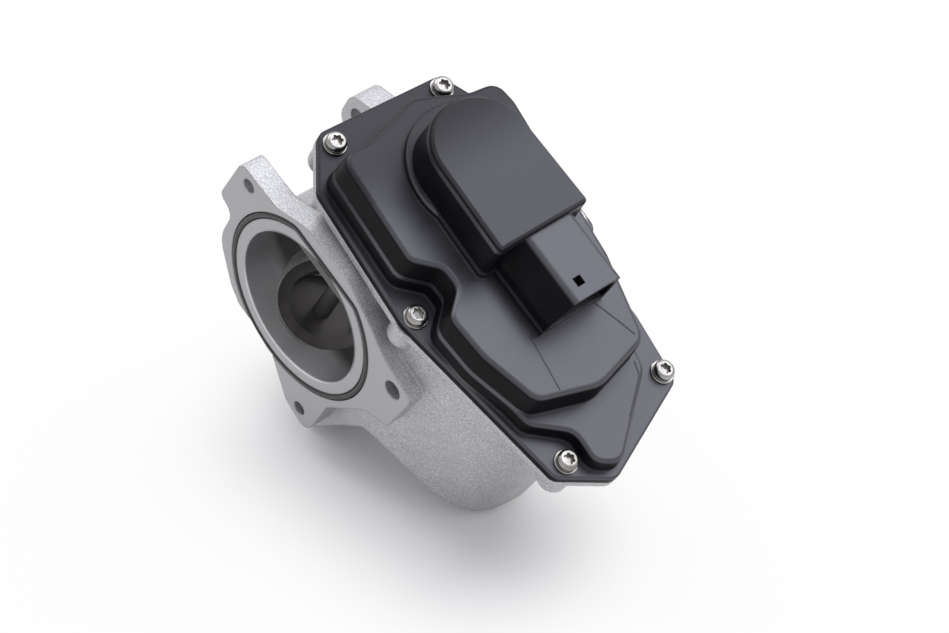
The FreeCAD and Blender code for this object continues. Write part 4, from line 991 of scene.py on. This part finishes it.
@dataclass
class Studio:
    """Pale floor, soft light and the photograph's camera.

    The floor turns plain white away from the line on which the valve rests, so
    that only the shadow close to the valve shows.
    """

    target_size: tuple[int, int] = (949, 633)
    azimuth: float = 46.7
    elevation: float = 39.8
    location: Point = (479.4, -375.6, 501.6)
    focal_px: float = 2500.0
    sensor_mm: float = 36.0
    near_clip: float = 0.01
    floor_side: float = 6.0
    floor_colour: Colour = (0.86, 0.86, 0.86)
    floor_glow: float = 0.88
    contact_half: float = 34.0
    contact_y: float = 15.0
    shadow_reach: float = 62.0
    lamp_colour: Colour = (0.95, 0.96, 1.0)
    lamp_aim: Point = (0.03, 0.03, 0.0)
    world_colour: Colour = (0.97, 0.975, 1.0)
    world_strength: float = 0.66

    def camera(self) -> None:
        """Set the camera where the photographer stood."""
        turn, lift = math.radians(self.azimuth), math.radians(self.elevation)
        right = Vector((math.cos(turn), math.sin(turn), 0.0))
        back = Vector((math.sin(turn) * math.cos(lift), -math.cos(turn) * math.cos(lift), math.sin(lift)))
        up = back.cross(right)
        data = bpy.data.cameras.new("camera")
        data.sensor_width = self.sensor_mm
        data.lens = self.focal_px / self.target_size[0] * self.sensor_mm
        data.clip_start = self.near_clip
        camera = bpy.data.objects.new("camera", data)
        basis = Matrix((right, up, back)).transposed().to_4x4()
        camera.matrix_world = Matrix.Translation(Vector(self.location) * MM) @ basis
        bpy.context.collection.objects.link(camera)
        bpy.context.scene.camera = camera

    def floor_material(self) -> bpy.types.Material:
        """White floor that keeps the valve's shadow."""
        graph = Graph("studio_floor")
        rays = graph.add("ShaderNodeLightPath")
        shown = Value(graph, rays.outputs["Is Camera Ray"]).larger(rays.outputs["Is Glossy Ray"])
        shown = shown.larger(rays.outputs["Is Transmission Ray"])
        lit = graph.add("ShaderNodeBsdfDiffuse", None, {"Color": (*self.floor_colour, 1.0)})
        glow = graph.add("ShaderNodeEmission", None, {"Color": (1.0, 1.0, 1.0, 1.0), "Strength": 1.0})
        x, y, _ = graph.parts(graph.coords())
        along = (x - self.contact_half * MM).size() - self.contact_half * MM
        reach = graph.length(along.larger(0.0), y - self.contact_y * MM)
        share = shown * reach.ramp(0.0, self.shadow_reach * MM) * self.floor_glow
        return graph.close(graph.mixed(share, lit.outputs[0], glow.outputs[0]))

    def floor(self, level: float) -> None:
        """Lay the floor at the valve's lowest point.

        Args:
            level: Height of the floor in metres.
        """
        half = self.floor_side / 2

        def fill(work: bmesh.types.BMesh) -> None:
            corners = [(-half, -half), (half, -half), (half, half), (-half, half)]
            work.faces.new([work.verts.new((x, y, level)) for x, y in corners])

        mesh = mesh_from(fill, "floor", smooth=False)
        mesh.materials.append(self.floor_material())
        obj = bpy.data.objects.new("floor", mesh)
        bpy.context.collection.objects.link(obj)
        obj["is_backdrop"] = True

    def lamp(self, name: str, place: Point, side: float, power: float) -> None:
        """Add one soft square lamp that points at the valve.

        Args:
            name: The lamp's name.
            place: Where it hangs, in metres.
            side: Length of its side in metres.
            power: Power in watts.
        """
        data = bpy.data.lights.new(name, "AREA")
        data.shape = "SQUARE"
        data.size = side
        data.energy = power
        data.color = self.lamp_colour
        lamp = bpy.data.objects.new(name, data)
        lamp.location = place
        lamp.rotation_euler = (Vector(self.lamp_aim) - Vector(place)).to_track_quat("-Z", "Y").to_euler()
        bpy.context.collection.objects.link(lamp)

    def world(self) -> None:
        """Even pale surroundings, white to the camera and in reflections."""
        world = bpy.data.worlds.new("surroundings")
        world.use_nodes = True
        bpy.context.scene.world = world
        tree = world.node_tree
        tree.nodes.clear()
        rays = tree.nodes.new("ShaderNodeLightPath")
        light = tree.nodes.new("ShaderNodeBackground")
        light.inputs["Color"].default_value = (*self.world_colour, 1.0)
        light.inputs["Strength"].default_value = self.world_strength
        shown = tree.nodes.new("ShaderNodeBackground")
        shown.inputs["Strength"].default_value = 1.0
        seen = rays.outputs["Is Camera Ray"]
        for kind in ("Is Glossy Ray", "Is Transmission Ray"):
            either = tree.nodes.new("ShaderNodeMath")
            either.operation = "MAXIMUM"
            tree.links.new(seen, either.inputs[0])
            tree.links.new(rays.outputs[kind], either.inputs[1])
            seen = either.outputs[0]
        mix = tree.nodes.new("ShaderNodeMixShader")
        out = tree.nodes.new("ShaderNodeOutputWorld")
        tree.links.new(seen, mix.inputs[0])
        tree.links.new(light.outputs[0], mix.inputs[1])
        tree.links.new(shown.outputs[0], mix.inputs[2])
        tree.links.new(mix.outputs[0], out.inputs["Surface"])

    def build(self, level: float) -> None:
        """Make the whole studio.

        Args:
            level: Height of the floor in metres.
        """
        bpy.context.scene.view_settings.view_transform = "Standard"
        self.camera()
        self.floor(level)
        self.world()
        self.lamp("overhead", (0.30, 0.72, 1.10), side=1.0, power=7.5)
        self.lamp("left_top", (-0.70, 0.10, 1.10), side=0.9, power=6.5)


def finishes(frame: ValveFrame) -> dict[str, bpy.types.Material]:
    """Build the material of every slot.

    Args:
        frame: The valve's own frame.

    Returns:
        Materials by slot.
    """
    made = {slot: finish.material() for slot, finish in FINISHES.items()}
    made[Slot.CASTING.value] = CastFinish(frame.tilt).material()
    made[Slot.COVER.value] = CoverFinish(frame.tilt).material()
    return made


def dress_nodes(loaded: Mapping[str, Any], materials: Mapping[str, bpy.types.Material]) -> None:
    """Give every CAD node the finish of its slot.

    Args:
        loaded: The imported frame.
        materials: Materials by slot.
    """
    for subpart in loaded["record"]["subparts"]:
        obj = loaded["nodes"][subpart["node"]]
        for slot in obj.material_slots:
            slot.material = materials[subpart["material_slot"]]
        LOG.info("%s: %s", subpart["node"], subpart["material_slot"])


def as_lists(box: tuple[Vector, Vector]) -> list[list[float]]:
    """A box as plain lists of numbers."""
    return [list(corner) for corner in box]


def main() -> None:
    """Build the studio and the valve, and report each piece."""
    logging.basicConfig(level=logging.INFO, format="%(message)s")
    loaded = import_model()
    solid_box = as_lists(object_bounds())
    frame = ValveFrame(loaded["joints"])
    materials = finishes(frame)
    dress_nodes(loaded, materials)
    shop = Workshop(frame, materials)
    CoverScrews(shop).build()
    PortSeal(shop).build()
    Springs(shop).build()
    CoverMarks(shop).build()
    Studio().build(solid_box[0][2])


if __name__ == "__main__":
    main()
